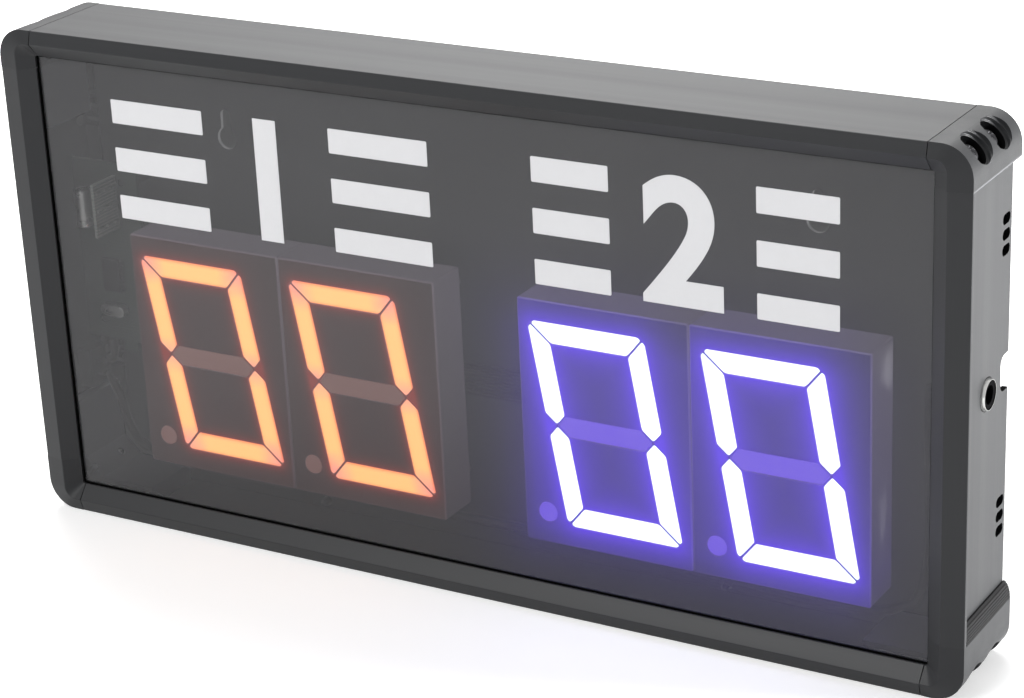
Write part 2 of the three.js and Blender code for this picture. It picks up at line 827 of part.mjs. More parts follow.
function displayBoard(x, header_places) {
  const plate = block(x - display_board_width / 2, x + display_board_width / 2,
    at(display_board_front), at(display_board_back),
    module_centre_height - display_board_height / 2, module_centre_height + display_board_height / 2);
  const headers = header_places.map((place) => header(place, display_board_front + board_thickness / 2,
    display_board_back + header_height));
  const modules = [x - module_pitch / 2, x + module_pitch / 2];
  const pins = modules.flatMap((place) => pinPlaces(place)).map(([px, pz]) => squarePost(
    px, pz, pin_hole_size, display_board_front - overrun, display_board_back + overrun));
  const stakes = displayPosts(x).map(([px, pz]) => rod('y', px, pz,
    at(display_board_front - overrun), at(display_board_back + overrun), stake_hole_radius, small_sides));
  return cut(join(plate, ...headers), ...pins, ...stakes);
}

const header_reach = display_board_width / 2 - header_edge_offset;
const left_headers = [pair_centres[0] - header_reach, pair_centres[0] + header_reach];
const right_headers = [pair_centres[1] - header_reach];
const pair_looks = ['diffuser_warm', 'diffuser_cool'];

pair_centres.forEach((centre, pair) => {
  const pair_name = pair === 0 ? 'left' : 'right';
  [-1, 1].forEach((side) => {
    const x = centre + side * module_pitch / 2;
    const digit_name = `${pair_name}_${side < 0 ? 'tens' : 'units'}`;
    add(`digit_housing_${digit_name}`, housing(x), 'housing');
    add(`digit_diffuser_${digit_name}`, diffuser(x), pair_looks[pair]);
    add(`digit_led_board_${digit_name}`, ledBoard(x), 'board');
  });
  const headers = pair === 0 ? left_headers : right_headers;
  add(`display_board_${pair_name}`, displayBoard(centre, headers), 'board');
});

// Controller board with its header on the back
const controller_right = controller_x + controller_width;
const controller_header_x = controller_right - header_edge_offset;
function controllerBoard() {
  const plate = block(controller_x, controller_right, at(controller_front), at(controller_back),
    controller_low, controller_low + controller_height);
  const plug = header(controller_header_x, controller_front + board_thickness / 2,
    controller_back + header_height);
  const stakes = controller_posts.map(([px, pz]) => rod('y', px, pz,
    at(controller_front - overrun), at(controller_back + overrun), stake_hole_radius, small_sides));
  return cut(join(plate, plug), ...stakes);
}
add('controller_board', controllerBoard(), 'board');

const on_board = at(controller_front - seat_gap);
const controller_mid_x = controller_x + controller_width / 2;

function microcontroller() {
  const z = controller_low + chip_height_on_board;
  const body = block(controller_mid_x - chip_width / 2, controller_mid_x + chip_width / 2,
    on_board - chip_thickness, on_board, z - chip_length / 2, z + chip_length / 2);
  const legs = [];
  const pitch = chip_length / chip_legs;
  const reach = chip_width / 2 + chip_leg_reach;
  for (let i = 0; i < chip_legs; i += 1) {
    const leg_z = z + (i - (chip_legs - 1) / 2) * pitch;
    legs.push(block(controller_mid_x - reach, controller_mid_x + reach,
      on_board - chip_leg_size, on_board - chip_leg_size / 2,
      leg_z - chip_leg_size / 2, leg_z + chip_leg_size / 2));
  }
  return join(body, ...legs);
}
add('microcontroller', microcontroller(), 'chip');

// A crystal can lying on the board: a rounded oval outline
function crystal() {
  const z = controller_low + crystal_height_on_board;
  const radius = crystal_width / 2;
  const straight = crystal_length / 2 - radius;
  const outline = [
    ...arc(controller_mid_x + straight, z, radius, -quarter_turn, quarter_turn, half_arc_steps),
    ...arc(controller_mid_x - straight, z, radius, quarter_turn, 3 * quarter_turn, half_arc_steps),
  ];
  return prism('y', outline, on_board - crystal_thickness, on_board);
}
add('clock_crystal', crystal(), 'metal');

// A smoothing capacitor lying along Z, with the groove near its end
function capacitor() {
  const x = controller_x + capacitor_inset;
  const low = controller_low + capacitor_low;
  const high = low + capacitor_length;
  const r = capacitor_radius;
  const groove = capacitor_groove;
  const middle = low + capacitor_groove_place;
  const profile = [
    [0, low],
    [r, low],
    [r, middle - groove],
    [r - groove, middle],
    [r, middle + groove],
    [r, high - groove],
    [r - groove, high],
    [0, high],
  ];
  return turned('z', x, on_board - r, profile, round_sides);
}
add('smoothing_capacitor', capacitor(), 'metal');

// The remote control receiver stands on the board, with small parts on its right face
function receiver() {
  const x = controller_x + receiver_inset;
  const low = controller_low + receiver_low;
  const plate = block(x, x + receiver_thickness, on_board - receiver_reach, on_board,
    low, low + receiver_height);
  const parts = [];
  const row_pitch = receiver_height / receiver_part_rows;
  const column_pitch = receiver_reach / receiver_part_rows;
  for (let row = 0; row < receiver_part_rows; row += 1) {
    for (let column = 0; column < receiver_part_rows; column += 1) {
      const y = on_board - (column + 1 / 2) * column_pitch;
      const z = low + (row + 1 / 2) * row_pitch;
      const half = receiver_part_size / 2;
      parts.push(block(x + receiver_thickness / 2, x + receiver_thickness + receiver_part_thickness,
        y - half, y + half, z - half / 2, z + half / 2));
    }
  }
  return join(plate, ...parts);
}
add('remote_receiver', receiver(), 'board');

// Power socket: a black body in a bright ring, held by its flange inside the wall
const wall_right = half_width - side_recess;
const ring_face = wall_right + socket_ring_proud;
const socket_inner_radius = socket_ring_radius - socket_ring_wall - window_gap;
const socket_y = at(socket_depth_place);
const socket_back_x = ring_face - socket_body_length;
const flange_face = wall_right - side_wall - seat_gap;

function socketBody() {
  const profile = [
    [0, socket_back_x],
    [socket_inner_radius, socket_back_x],
    [socket_inner_radius, ring_face - socket_ring_wall],
    [socket_bore_radius, ring_face - socket_ring_wall],
    [socket_bore_radius, ring_face - socket_bore_depth],
    [socket_pin_radius, ring_face - socket_bore_depth],
    [socket_pin_radius, ring_face - socket_pin_recess],
    [0, ring_face - socket_pin_recess],
  ];
  const body = turned('x', socket_y, socket_height, profile, round_sides);
  const tail = block(socket_back_x - socket_tail, socket_back_x + overrun,
    socket_y - terminal_thickness / 2, socket_y + terminal_thickness / 2,
    socket_height - terminal_width / 2, socket_height + terminal_width / 2);
  return join(body, tail);
}
add('power_socket', socketBody(), 'socket');

// A thin ring round the socket, with a wide flange behind the wall
function socketRing() {
  const inner = socket_ring_radius - socket_ring_wall;
  const back = flange_face - socket_flange_thickness;
  const profile = [
    [inner, back],
    [socket_flange_radius, back],
    [socket_flange_radius, flange_face],
    [socket_ring_radius, flange_face],
    [socket_ring_radius, ring_face],
    [inner, ring_face],
    [inner, back],
  ];
  return turned('x', socket_y, socket_height, profile, fine_sides);
}
add('power_socket_ring', socketRing(), 'metal');

// Power switch: its body, the well for the rocker and two blade terminals
function switchBody() {
  const bezel_half_length = well_half_length + switch_bezel_wall + cutout_gap;
  const bezel_half_width = well_half_width + switch_bezel_wall + cutout_gap;
  const bezel = block(wall_outside - switch_bezel, wall_outside - seat_gap,
    switch_y - bezel_half_width, switch_y + bezel_half_width,
    switch_height - bezel_half_length, switch_height + bezel_half_length);
  const body = block(wall_outside - switch_bezel / 2, switch_back_x,
    switch_y - body_half_width, switch_y + body_half_width,
    switch_height - body_half_length, switch_height + body_half_length);
  const well = block(wall_outside - switch_bezel - overrun, well_floor_x,
    switch_y - well_half_width, switch_y + well_half_width,
    switch_height - well_half_length, switch_height + well_half_length);
  const pivot = rod('y', pivot_x, switch_height,
    switch_y - well_half_width - rocker_pin_reach, switch_y + well_half_width + rocker_pin_reach,
    rocker_pin_radius + seat_gap, small_sides);
  const blades = [-1, 1].map((level) => block(switch_back_x - overrun, switch_back_x + terminal_length,
    switch_y - terminal_width / 2, switch_y + terminal_width / 2,
    switch_height + level * terminal_pitch / 2 - terminal_thickness / 2,
    switch_height + level * terminal_pitch / 2 + terminal_thickness / 2));
  return join(cut(join(bezel, body), well, pivot), ...blades);
}
add('power_switch_body', switchBody(), 'socket');

// Rocker round its pivot: outward is -X, and both end faces are arcs
function rocker() {
  const top_angle = Math.atan2(rocker_peak, rocker_half_length);
  const base_angle = -Math.asin(rocker_base / rocker_radius);
  const upper = arc(0, 0, rocker_radius, top_angle, base_angle, half_arc_steps);
  const lower = upper.map(([z, out]) => [-z, out]).reverse();
  const outline = [[0, rocker_valley], ...upper, ...lower].map(([z, out]) => [-out, z]);
  const half = rocker_width / 2;
  const pins = rod('y', 0, 0, -half - rocker_pin_reach, half + rocker_pin_reach, rocker_pin_radius,
    small_sides);
  return join(prism('y', outline, -half, half), pins);
}
const rocker_mesh = add('power_rocker', rocker(), 'socket');
rocker_mesh.position.set(pivot_x, switch_y, switch_height);
rocker_mesh.rotation.y = tilt;

// Back cover with notched corners, posts for the boards, keyholes and the cable notch
function coverOutline() {
  const x = half_width - side_inner - cover_edge_gap;
  const z = case_height - cap_wall - cover_edge_gap;
  const nx = half_width - corner_span - cover_edge_gap;
  const nz = case_height - corner_span - cover_edge_gap;
  const low_nz = foot_span + cover_edge_gap;
  const cx = half_width - corner_wall - cover_edge_gap;
  const cz = case_height - corner_wall - cover_edge_gap;
  const low = (height) => case_height - height;
  return [
    [x, low_nz],
    [x, nz],
    [cx, nz],
    [cx, cz - cover_notch_chamfer],
    [cx - cover_notch_chamfer, cz],
    [nx, cz],
    [nx, z],
    [-nx, z],
    [-nx, cz],
    [-cx + cover_notch_chamfer, cz],
    [-cx, cz - cover_notch_chamfer],
    [-cx, nz],
    [-x, nz],
    [-x, low_nz],
    [-cx, low_nz],
    [-cx, low(cz - cover_notch_chamfer)],
    [-cx + cover_notch_chamfer, low(cz)],
    [-nx, low(cz)],
    [-nx, low(z)],
    [nx, low(z)],
    [nx, low(cz)],
    [cx - cover_notch_chamfer, low(cz)],
    [cx, low(cz - cover_notch_chamfer)],
    [cx, low_nz],
  ];
}

function post(x, z, board_front, board_back) {
  const boss = rod('y', x, z, at(board_back + seat_gap), at(cover_front + cover_thickness / 2),
    post_radius, small_sides);
  const stake = rod('y', x, z, at(board_front + seat_gap), at(board_back + overrun), stake_radius,
    small_sides);
  return join(boss, stake);
}

function keyholeTools(side) {
  const x = side * keyhole_spacing / 2;
  const front = at(cover_front - overrun);
  const back = at(case_depth + overrun);
  const top = keyhole_height + keyhole_slot_length;
  return [
    rod('y', x, keyhole_height, front, back, keyhole_head_radius, fine_sides),
    rod('y', x, top, front, back, keyhole_slot_radius),
    block(x - keyhole_slot_radius, x + keyhole_slot_radius, front, back, keyhole_height, top),
  ];
}

// A countersunk profile as [radius, depth] points, wider by a clearance
function sunkProfile(clearance, tip, end) {
  return [
    [0, at(tip)],
    [cover_screw_radius + clearance, at(tip)],
    [cover_screw_radius + clearance, at(case_depth - cover_screw_head_height)],
    [cover_screw_head_radius + clearance, at(case_depth)],
    [cover_screw_head_radius + clearance, at(end)],
    [0, at(end)],
  ];
}

function backCover() {
  const plate = prism('y', coverOutline(), at(cover_front), at(case_depth));
  const posts = [
    ...pair_centres.flatMap((x) => displayPosts(x)).map(([x, z]) => post(
      x, z, display_board_front, display_board_back)),
    ...controller_posts.map(([x, z]) => post(x, z, controller_front, controller_back)),
  ];
  const holes = cover_screws.map(([x, z]) => turned('y', x, z,
    sunkProfile(seat_gap, cover_front - overrun, case_depth + overrun), small_sides));
  return cut(join(plate, ...posts), ...holes, ...keyholeTools(-1), ...keyholeTools(1), notchTool());
}
add('back_cover', backCover(), 'cover');

function coverScrew(x, z) {
  const tip = case_depth - cover_screw_length;
  const profile = [
    [0, at(tip)],
    [cover_screw_radius, at(tip + cover_screw_radius)],
    [cover_screw_radius, at(case_depth - cover_screw_head_height)],
    [cover_screw_head_radius, at(case_depth)],
    [0, at(case_depth)],
  ];
  const body = turned('y', x, z, profile, small_sides);
  const half = cross_slot_length / 2;
  const width = cross_slot_width / 2;
  const front = at(case_depth - cross_slot_depth / 2);
  const back = at(case_depth + overrun);
  return cut(body, block(x - half, x + half, front, back, z - width, z + width),
    block(x - width, x + width, front, back, z - half, z + half));
}
cover_screws.forEach(([x, z], i) => add(`cover_screw_${i + 1}`, coverScrew(x, z), 'screw'));

// A tube along a smooth line through points, closed at both ends
function lead(points, steps) {
  const curve = new THREE.CatmullRomCurve3(points.map((p) => new THREE.Vector3(...p)), false, 'centripetal');
  const circle = Array.from({ length: lead_sides }, (_, i) => {
    const angle = 2 * Math.PI * i / lead_sides;
    return new THREE.Vector2(lead_radius * Math.cos(angle), lead_radius * Math.sin(angle));
  });
  return solid(new THREE.ExtrudeGeometry(new THREE.Shape(circle),
    { steps, extrudePath: curve, bevelEnabled: false }));
}

// The power lead runs from the socket down, under the modules, and up to the switch
const lead_start_x = socket_back_x - socket_tail - seat_gap;
const lead_end_x = switch_back_x + terminal_length + seat_gap;
const lead_low_z = (cap_wall + flange_reach + module_centre_height - module_height / 2) / 2;
const lead_middle_x = (pair_centres[0] + pair_centres[1]) / 2;
const lead_y = at(flange_front - lead_bend);
const switch_low_z = switch_height - terminal_pitch / 2;
const switch_high_z = switch_height + terminal_pitch / 2;
add('power_lead', lead([
  [lead_start_x, socket_y, socket_height],
  [lead_start_x - lead_radius, socket_y, socket_height],
  [lead_start_x - lead_bend, lead_y, socket_height - lead_bend],
  [lead_start_x - lead_bend, lead_y, lead_low_z + 2 * lead_bend],
  [lead_start_x - 2 * lead_bend, lead_y, lead_low_z],
  [lead_middle_x, lead_y, lead_low_z],
  [lead_end_x + 2 * lead_bend, lead_y, lead_low_z],
  [lead_end_x + lead_bend, (lead_y + switch_y) / 2, lead_low_z + lead_bend],
  [lead_end_x + lead_radius, switch_y, switch_low_z],
  [lead_end_x, switch_y, switch_low_z],
], lead_steps), 'lead');

// The switch lead runs from the switch up to the controller board's lower edge
add('switch_lead', lead([
  [lead_end_x, switch_y, switch_high_z + lead_radius],
  [lead_end_x + lead_radius, switch_y, switch_high_z + lead_radius],
  [lead_end_x + lead_bend / 2, (switch_y + at(controller_front)) / 2, controller_low - lead_bend],
  [lead_end_x + lead_bend / 2, at(controller_front + board_thickness / 2), controller_low - lead_radius],
  [lead_end_x + lead_bend / 2, at(controller_front + board_thickness / 2), controller_low - seat_gap],
], switch_lead_steps), 'lead');

// A flat ribbon bent like a staple between two headers that face the cover
function ribbon(left_x, left_depth, right_x, right_depth) {
  const back = cover_front - ribbon_back_gap;
  const t = ribbon_thickness;
  const outline = [
    [left_x, at(left_depth + header_height + seat_gap)],
    [left_x + t, at(left_depth + header_height + seat_gap)],
    [left_x + t, at(back - t)],
    [right_x - t, at(back - t)],
    [right_x - t, at(right_depth + header_height + seat_gap)],
    [right_x, at(right_depth + header_height + seat_gap)],
    [right_x, at(back)],
    [left_x, at(back)],
  ];
  return prism('z', outline, header_z - ribbon_width / 2, header_z + ribbon_width / 2);
}
add('ribbon_cable_controller',
  ribbon(controller_header_x, controller_back, left_headers[0], display_board_back), 'ribbon');
add('ribbon_cable_displays',
  ribbon(left_headers[1], display_board_back, right_headers[0], display_board_back), 'ribbon');

export default scoreboard;
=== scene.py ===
import math

import bmesh
import bpy
from mathutils import Matrix, Vector


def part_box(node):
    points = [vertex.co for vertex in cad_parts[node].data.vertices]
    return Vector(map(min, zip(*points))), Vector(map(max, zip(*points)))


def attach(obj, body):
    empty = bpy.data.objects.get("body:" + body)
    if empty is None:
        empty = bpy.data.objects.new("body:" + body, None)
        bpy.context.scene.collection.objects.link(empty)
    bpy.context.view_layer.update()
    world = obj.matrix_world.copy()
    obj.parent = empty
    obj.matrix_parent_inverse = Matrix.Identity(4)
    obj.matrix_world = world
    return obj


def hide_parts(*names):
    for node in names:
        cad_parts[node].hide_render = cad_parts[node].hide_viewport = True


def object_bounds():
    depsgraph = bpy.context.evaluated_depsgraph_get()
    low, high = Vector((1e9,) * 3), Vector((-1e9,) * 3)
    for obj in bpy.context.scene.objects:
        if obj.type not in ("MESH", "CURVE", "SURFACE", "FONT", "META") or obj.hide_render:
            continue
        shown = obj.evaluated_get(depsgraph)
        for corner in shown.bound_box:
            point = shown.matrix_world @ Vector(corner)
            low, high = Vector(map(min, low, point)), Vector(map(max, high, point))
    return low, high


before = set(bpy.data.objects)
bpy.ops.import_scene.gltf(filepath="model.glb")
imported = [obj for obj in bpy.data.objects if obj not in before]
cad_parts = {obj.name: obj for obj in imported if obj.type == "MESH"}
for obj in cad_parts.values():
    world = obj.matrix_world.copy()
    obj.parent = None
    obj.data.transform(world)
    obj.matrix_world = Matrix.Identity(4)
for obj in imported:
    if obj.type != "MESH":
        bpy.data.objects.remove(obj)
cad_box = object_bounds()

bl_info = {
    "name": "Electronic scoreboard",
    "version": (1, 0, 0),
    "blender": (4, 5, 0),
    "location": "3D View > Sidebar > Scoreboard",
    "description": "Dresses the scoreboard's frame with fine pieces, materials, lamps and a camera",
    "category": "Object",
}

# Sizes, in metres. Places come from the frame's boxes.
mm = 0.001
LOW = Vector(cad_box[0])
HIGH = Vector(cad_box[1])
HALF_WIDTH = HIGH.x
HEIGHT = HIGH.z
AXES = {"x": Vector((1, 0, 0)), "y": Vector((0, 1, 0)), "z": Vector((0, 0, 1))}

# Front lip, as insets from the outside and depths from the rim's front edge
RIDGE_RISE = 1.4 * mm
SIDE_RIDGE_INSET = 8 * mm
SIDE_BEVEL_INSET = 13.9 * mm
CAP_RIDGE_INSET = 4.8 * mm
CAP_BEVEL_INSET = 10.1 * mm
BEVEL_DROP = 2.9 * mm
LIP_BACK = 3.7 * mm
RIM_DEPTH = 2 * mm
SIDE_RECESS = 2.8 * mm
SIDE_INNER = 4.8 * mm
CAP_WALL = 2.2 * mm
LEDGE_FRONT = 7.5 * mm
LEDGE_BACK = 9.1 * mm
SIDE_LEDGE_REACH = 11 * mm
CAP_LEDGE_REACH = 9.2 * mm
FLANGE_THICKNESS = 1.5 * mm
FLANGE_REACH = 6 * mm
FLANGE_TO_BACK = 1.8 * mm

# Corner pieces and their pockets
CORNER_SPAN = 15 * mm
FOOT_SPAN = 20.5 * mm
CORNER_RADIUS = 11 * mm
CORNER_WALL = 6.5 * mm
RIDGE_RADIUS = 4.5 * mm
BEVEL_RADIUS = 0.8 * mm
COLLAR_HEIGHT = 6.3 * mm
COLLAR_RIBS = 7
COLLAR_GROOVE = 0.3 * mm
POCKET_RADIUS = 7 * mm
POCKET_STEP = 0.7 * mm
POCKET_STEP_DEPTH = 1.4 * mm
POCKET_STEPS = 2
POCKET_BORE_DEPTH = 5.3 * mm
POCKET_EASE = 0.4 * mm
HIGHLIGHT_WIDTH = 0.7 * mm
SCREW_RADIUS = 1.5 * mm
SCREW_HEAD_RADIUS = 3.1 * mm
SCREW_HEAD_HEIGHT = 2.1 * mm
SCREW_DOME_SHARE = 0.6
SCREW_LENGTH = 10 * mm
COVER_SCREW_HEAD_RADIUS = 2.8 * mm
COVER_SCREW_HEAD_HEIGHT = 1.2 * mm
COVER_SCREW_LENGTH = 7 * mm
COVER_SCREW_EASE = 0.1 * mm
COVER_SCREW_COUNT = 6
COVER_SCREWS = [f"cover_screw_{i + 1}" for i in range(COVER_SCREW_COUNT)]
RECESS_WIDTH = 0.9 * mm
RECESS_LENGTH = 3.8 * mm
RECESS_DEPTH = 1.1 * mm
FLANGE_HOLE_DEPTH = 7 * mm
THREAD_PITCH = 1 * mm
THREAD_DEPTH = 0.2 * mm
GAP = 0.3 * mm
SEAM = 0.12 * mm
OVERRUN = 1 * mm
CUT_ANGLE = 28
TURNED_ANGLE = 30
BAR_ANGLE = 40
MERGE = 0.001 * mm
CAD_MERGE = 0.005 * mm

# Vents, notch and holes in the side rails
VENT_LENGTH = 6.6 * mm
VENT_WIDTH = 3.6 * mm
VENT_PITCH = 5.3 * mm
VENT_COUNT = 3
VENT_BACK_MARGIN = 4.9 * mm
VENT_CAP_MARGIN = 40.1 * mm
VENT_LOW = 52.7 * mm
RAIL_EDGE = 0.05 * mm
NOTCH_WIDTH = 12.8 * mm
NOTCH_DEPTH = 7.1 * mm
NOTCH_HEIGHT = 103.7 * mm
NOTCH_RADIUS = 3.2 * mm

# Socket and switch
SOCKET_HOLE_RADIUS = 5.9 * mm
SOCKET_HOLE_REACH = 12 * mm
RING_RADIUS = 5.7 * mm
RING_FACE_RADIUS = 5.05 * mm
RING_WALL = 0.12 * mm
FLANGE_RADIUS = 8 * mm
SOCKET_RADIUS = 5.35 * mm
SOCKET_BORE_RADIUS = 3.2 * mm
SOCKET_BORE_DEPTH = 9.5 * mm
SOCKET_PIN_RADIUS = 0.45 * mm
SOCKET_PIN_RECESS = 4.8 * mm
SOCKET_LENGTH = 13 * mm
CUTOUT_HALF_WIDTH = 5.1 * mm
CUTOUT_HALF_LENGTH = 7.93 * mm
CUTOUT_DEPTH = 3 * mm
CAN_EDGE_RADIUS = 0.3 * mm
CAPACITOR_EDGE_RADIUS = 0.2 * mm
SWITCH_EDGE_RADIUS = 0.2 * mm
ROCKER_EDGE_RADIUS = 0.25 * mm
LEAD_EDGE_RADIUS = 0.1 * mm

# Digits: seven bars and a point, upright, before the lean
LEAN = math.tan(math.radians(-10))
DIGIT_MARGIN = 10.5 * mm
DIGIT_HEIGHT = 76.2 * mm
SEGMENT_WIDTH = 7.4 * mm
SEGMENT_GAP = 0.9 * mm
SEGMENT_CUT = 2.4 * mm
POINT_RADIUS = 3.7 * mm
POINT_MARGIN = 9.1 * mm
POINT_DROP = 34.3 * mm
BAR_DEPTH = 2.4 * mm
BAR_EASE = 0.25 * mm
BAR_CORNER_RADIUS = 0.7 * mm
PLATE_THICKNESS = 1 * mm
MODULE_WALL = 1.5 * mm
MODULE_FACE = 1.6 * mm
MODULE_EDGE_RADIUS = 0.5 * mm
WINDOW_GAP = 0.15 * mm
WINDOW_EASE = 0.15 * mm

# Labels on the panel: a numeral between stripes
LABEL_LOW = 123 * mm
LABEL_HIGH = 168.5 * mm
LABEL_SPANS = {"left": (-144.2 * mm, -9.5 * mm), "right": (31.3 * mm, 143.8 * mm)}
LABEL_NUMERALS = {"left": "1", "right": "2"}
STRIPES = 3
STRIPE_WIDTH = 9 * mm
STRIPE_START = 27 * mm
STRIPE_CORNER_RADIUS = 0.5 * mm
NUMERAL_WEIGHT = 0.03
FILM_THICKNESS = 0.12 * mm
GASKET_SHADE_REACH = 0.45 * mm
GASKET_EDGE_RADIUS = 0.15 * mm

# Ribbon cables
RIBBON_WIRES = 10
RIBBON_PITCH = 1.27 * mm
WIRE_RADIUS = 0.48 * mm
WIRE_SIDES = 8
RIBBON_BEND = 2 * mm

# Painted light on the digit modules, each spill as (reach, strength), and the panel's painted glow beside the
# right pair
NEAR_SPILL = {"left": (1.4 * mm, 0.8), "right": (3 * mm, 0.85)}
FAR_SPILL = {"left": (40 * mm, 0.1), "right": (20 * mm, 0.72)}
PANEL_GLOW_STRENGTH = 0.22
PANEL_GLOW_REACH = 10 * mm
PANEL_GLOW_HALF_DIGIT = (23 * mm, 35 * mm)
WALL_GLOW = (0.11, 0.095, 0.12)
OUTWARD_FADE = 0.6
WALL_SPILL = 0.15
RIB_SPILL = 0.3
EDGE_GLOW = 0.5
RIB_MARGIN = 0.1 * mm

# Sides of turned pieces, and steps of arcs and of eased corners
FINE_SIDES = 64
ROUND_SIDES = 40
ARC_STEPS = 16
EASE_STEPS = 3

# The stage. The image is 1024 pixels wide, and the lens follows from the photograph's edges.
LENS = 99.079
SENSOR = 36
CAMERA_PLACE = Vector((0.4874, -0.7905, 0.4560))
CAMERA_RIGHT = Vector((0.8685, 0.4940, -0.0411))
CAMERA_UP = Vector((-0.1595, 0.3570, 0.9204))
CAMERA_SHIFT = (-0.0222, 0.0593)
FLOOR_HALF = 6.0
FLOOR_THICKNESS = 20 * mm
FLOOR_DROP = 0.1 * mm
# The floor's glow where it is seen or mirrored, and what it gains between two distances
FLOOR_GLOW = 0.28
FAR_FLOOR = (0.5, 1.3)
FAR_FLOOR_GLOW = 0.8
# How bright the room looks in a mirror, and past the panel, where it is painted dark as shade
MIRRORED_WORLD = 0.7
PAST_PANEL = 0.015
# Each lamp's place and its size
TOP_LAMP = (Vector((-0.5, 0.9, 1.3)), 1.4)
SIDE_LAMP = (Vector((1.5, 0.5, 0.15)), 0.28)
FRONT_LAMP = (Vector((-0.55, -1.4, 1.6)), 1.0)

# How much longer the die lines of an extrusion are than wide
DIE_LINE_STRETCH = 60


def linear(hex_colour):
    """A #rrggbb colour as linear red, green, blue and a full alpha."""
    channels = [int(hex_colour[i:i + 2], 16) / 255 for i in (1, 3, 5)]
    return [c / 12.92 if c <= 0.04045 else ((c + 0.055) / 1.055) ** 2.4 for c in channels] + [1.0]


def at(depth):
    """The place along Y of a depth counted from the rim's front edge."""
    return LOW.y + RIDGE_RISE + depth


def add_node(tree, kind, inputs=None, **settings):
    """Adds a node, sets its options, and fills or links its inputs."""
    added = tree.nodes.new(kind)
    for name, value in settings.items():
        setattr(added, name, value)
    for name, value in (inputs or {}).items():
        if isinstance(value, bpy.types.NodeSocket):
            tree.links.new(value, added.inputs[name])
        else:
            added.inputs[name].default_value = value
    return added


# Meshes


def linked(name, data):
    """A new object in the scene."""
    piece = bpy.data.objects.new(name, data)
    bpy.context.scene.collection.objects.link(piece)
    return piece


def mesh_object(name, shape):
    """Makes a mesh object of a bmesh."""
    mesh = bpy.data.meshes.new(name)
    shape.to_mesh(mesh)
    shape.free()
    return linked(name, mesh)


def piece_from(name, shape):
    """Makes a mesh object of a bmesh, with its faces pointing out."""
    bmesh.ops.recalc_face_normals(shape, faces=shape.faces)
    return mesh_object(name, shape)


def plain(piece):
    """Replaces an object by a plain mesh object of its evaluated shape."""
    bpy.context.view_layer.update()
    evaluated = piece.evaluated_get(bpy.context.evaluated_depsgraph_get())
    mesh = bpy.data.meshes.new_from_object(evaluated)
    name = piece.name
    bpy.data.objects.remove(piece)
    mesh.name = name
    return linked(name, mesh)


def shade(piece, degrees=35):
    """Shades a mesh smooth, with sharp edges above an angle. Large faces lead, so that flats look flat."""
    piece.data.shade_smooth()
    piece.data.set_sharp_from_angle(angle=math.radians(degrees))
    modifier = piece.modifiers.new("flats", "WEIGHTED_NORMAL")
    modifier.keep_sharp = True
    return plain(piece)


def paint(piece, *materials):
    """Gives a piece its materials in order. Its faces keep the numbers of their materials."""
    slots = piece.data.materials
    while len(slots) < len(materials):
        slots.append(None)
    for i, material in enumerate(materials):
        slots[i] = material
    return piece


def dress(node, material):
    """Gives a carried-over CAD node its material."""
    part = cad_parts[node]
    part.data.materials.clear()
    part.data.materials.append(material)


def finished(piece, material, nodes=(), body="case"):
    """Gives a piece its material, the CAD nodes it stands for and its body."""
    if material is not None:
        paint(piece, material)
    if nodes:
        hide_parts(*nodes)
    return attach(piece, body)


def eased(points, radius):
    """Rounds the corners of a closed outline of points."""
    rounded = []
    for i, corner in enumerate(points):
        before = points[i - 1] - corner
        after = points[(i + 1) % len(points)] - corner
        reach = min(radius, before.length / 2, after.length / 2)
        start = corner + before.normalized() * reach
        end = corner + after.normalized() * reach
        for step in range(EASE_STEPS + 1):
            t = step / EASE_STEPS
            rounded.append(start * (1 - t) ** 2 + corner * 2 * t * (1 - t) + end * t ** 2)
    return rounded


def prism(name, outline, axis, low, high):
    """Extrudes an outline of 2D points between two places on an axis."""
    place = {
        "x": lambda a, b, c: (c, a, b),
        "y": lambda a, b, c: (a, c, b),
        "z": lambda a, b, c: (a, b, c),
    }[axis]
    shape = bmesh.new()
    near = [shape.verts.new(place(p[0], p[1], low)) for p in outline]
    far = [shape.verts.new(place(p[0], p[1], high)) for p in outline]
    shape.faces.new(near)
    shape.faces.new(reversed(far))
    for i in range(len(outline)):
        j = (i + 1) % len(outline)
        shape.faces.new((near[i], near[j], far[j], far[i]))
    return piece_from(name, shape)


def turned(name, profile, sides):
    """Turns a profile of (radius, height) points round Z. The profile ends on the axis or closes."""
    shape = bmesh.new()
    rings = []
    for radius, height in profile:
        if radius == 0:
            rings.append([shape.verts.new((0, 0, height))])
            continue
        turns = [2 * math.pi * i / sides for i in range(sides)]
        rings.append([shape.verts.new((radius * math.cos(a), radius * math.sin(a), height)) for a in turns])
    for low, high in zip(rings, rings[1:]):
        for i in range(sides):
            j = (i + 1) % sides
            corners = [low[i % len(low)], low[j % len(low)], high[j % len(high)], high[i % len(high)]]
            face = list(dict.fromkeys(corners))
            if len(face) > 2:
                shape.faces.new(face)
    bmesh.ops.remove_doubles(shape, verts=shape.verts, dist=MERGE)
    return piece_from(name, shape)


def placed(piece, matrix):
    """Moves a piece by changing its mesh, and keeps its faces pointing out."""
    piece.data.transform(matrix)
    if matrix.determinant() < 0:
        piece.data.flip_normals()
    return piece


def pointing(place, direction):
    """A matrix that puts local Z along a direction, at a place."""
    turn = direction.to_track_quat("Z", "Y").to_matrix().to_4x4()
    return Matrix.Translation(place) @ turn


def joined(name, pieces):
    """Joins pieces into one mesh object."""
    shape = bmesh.new()
    for piece in pieces:
        shape.from_mesh(piece.data)
        bpy.data.objects.remove(piece)
    return mesh_object(name, shape)


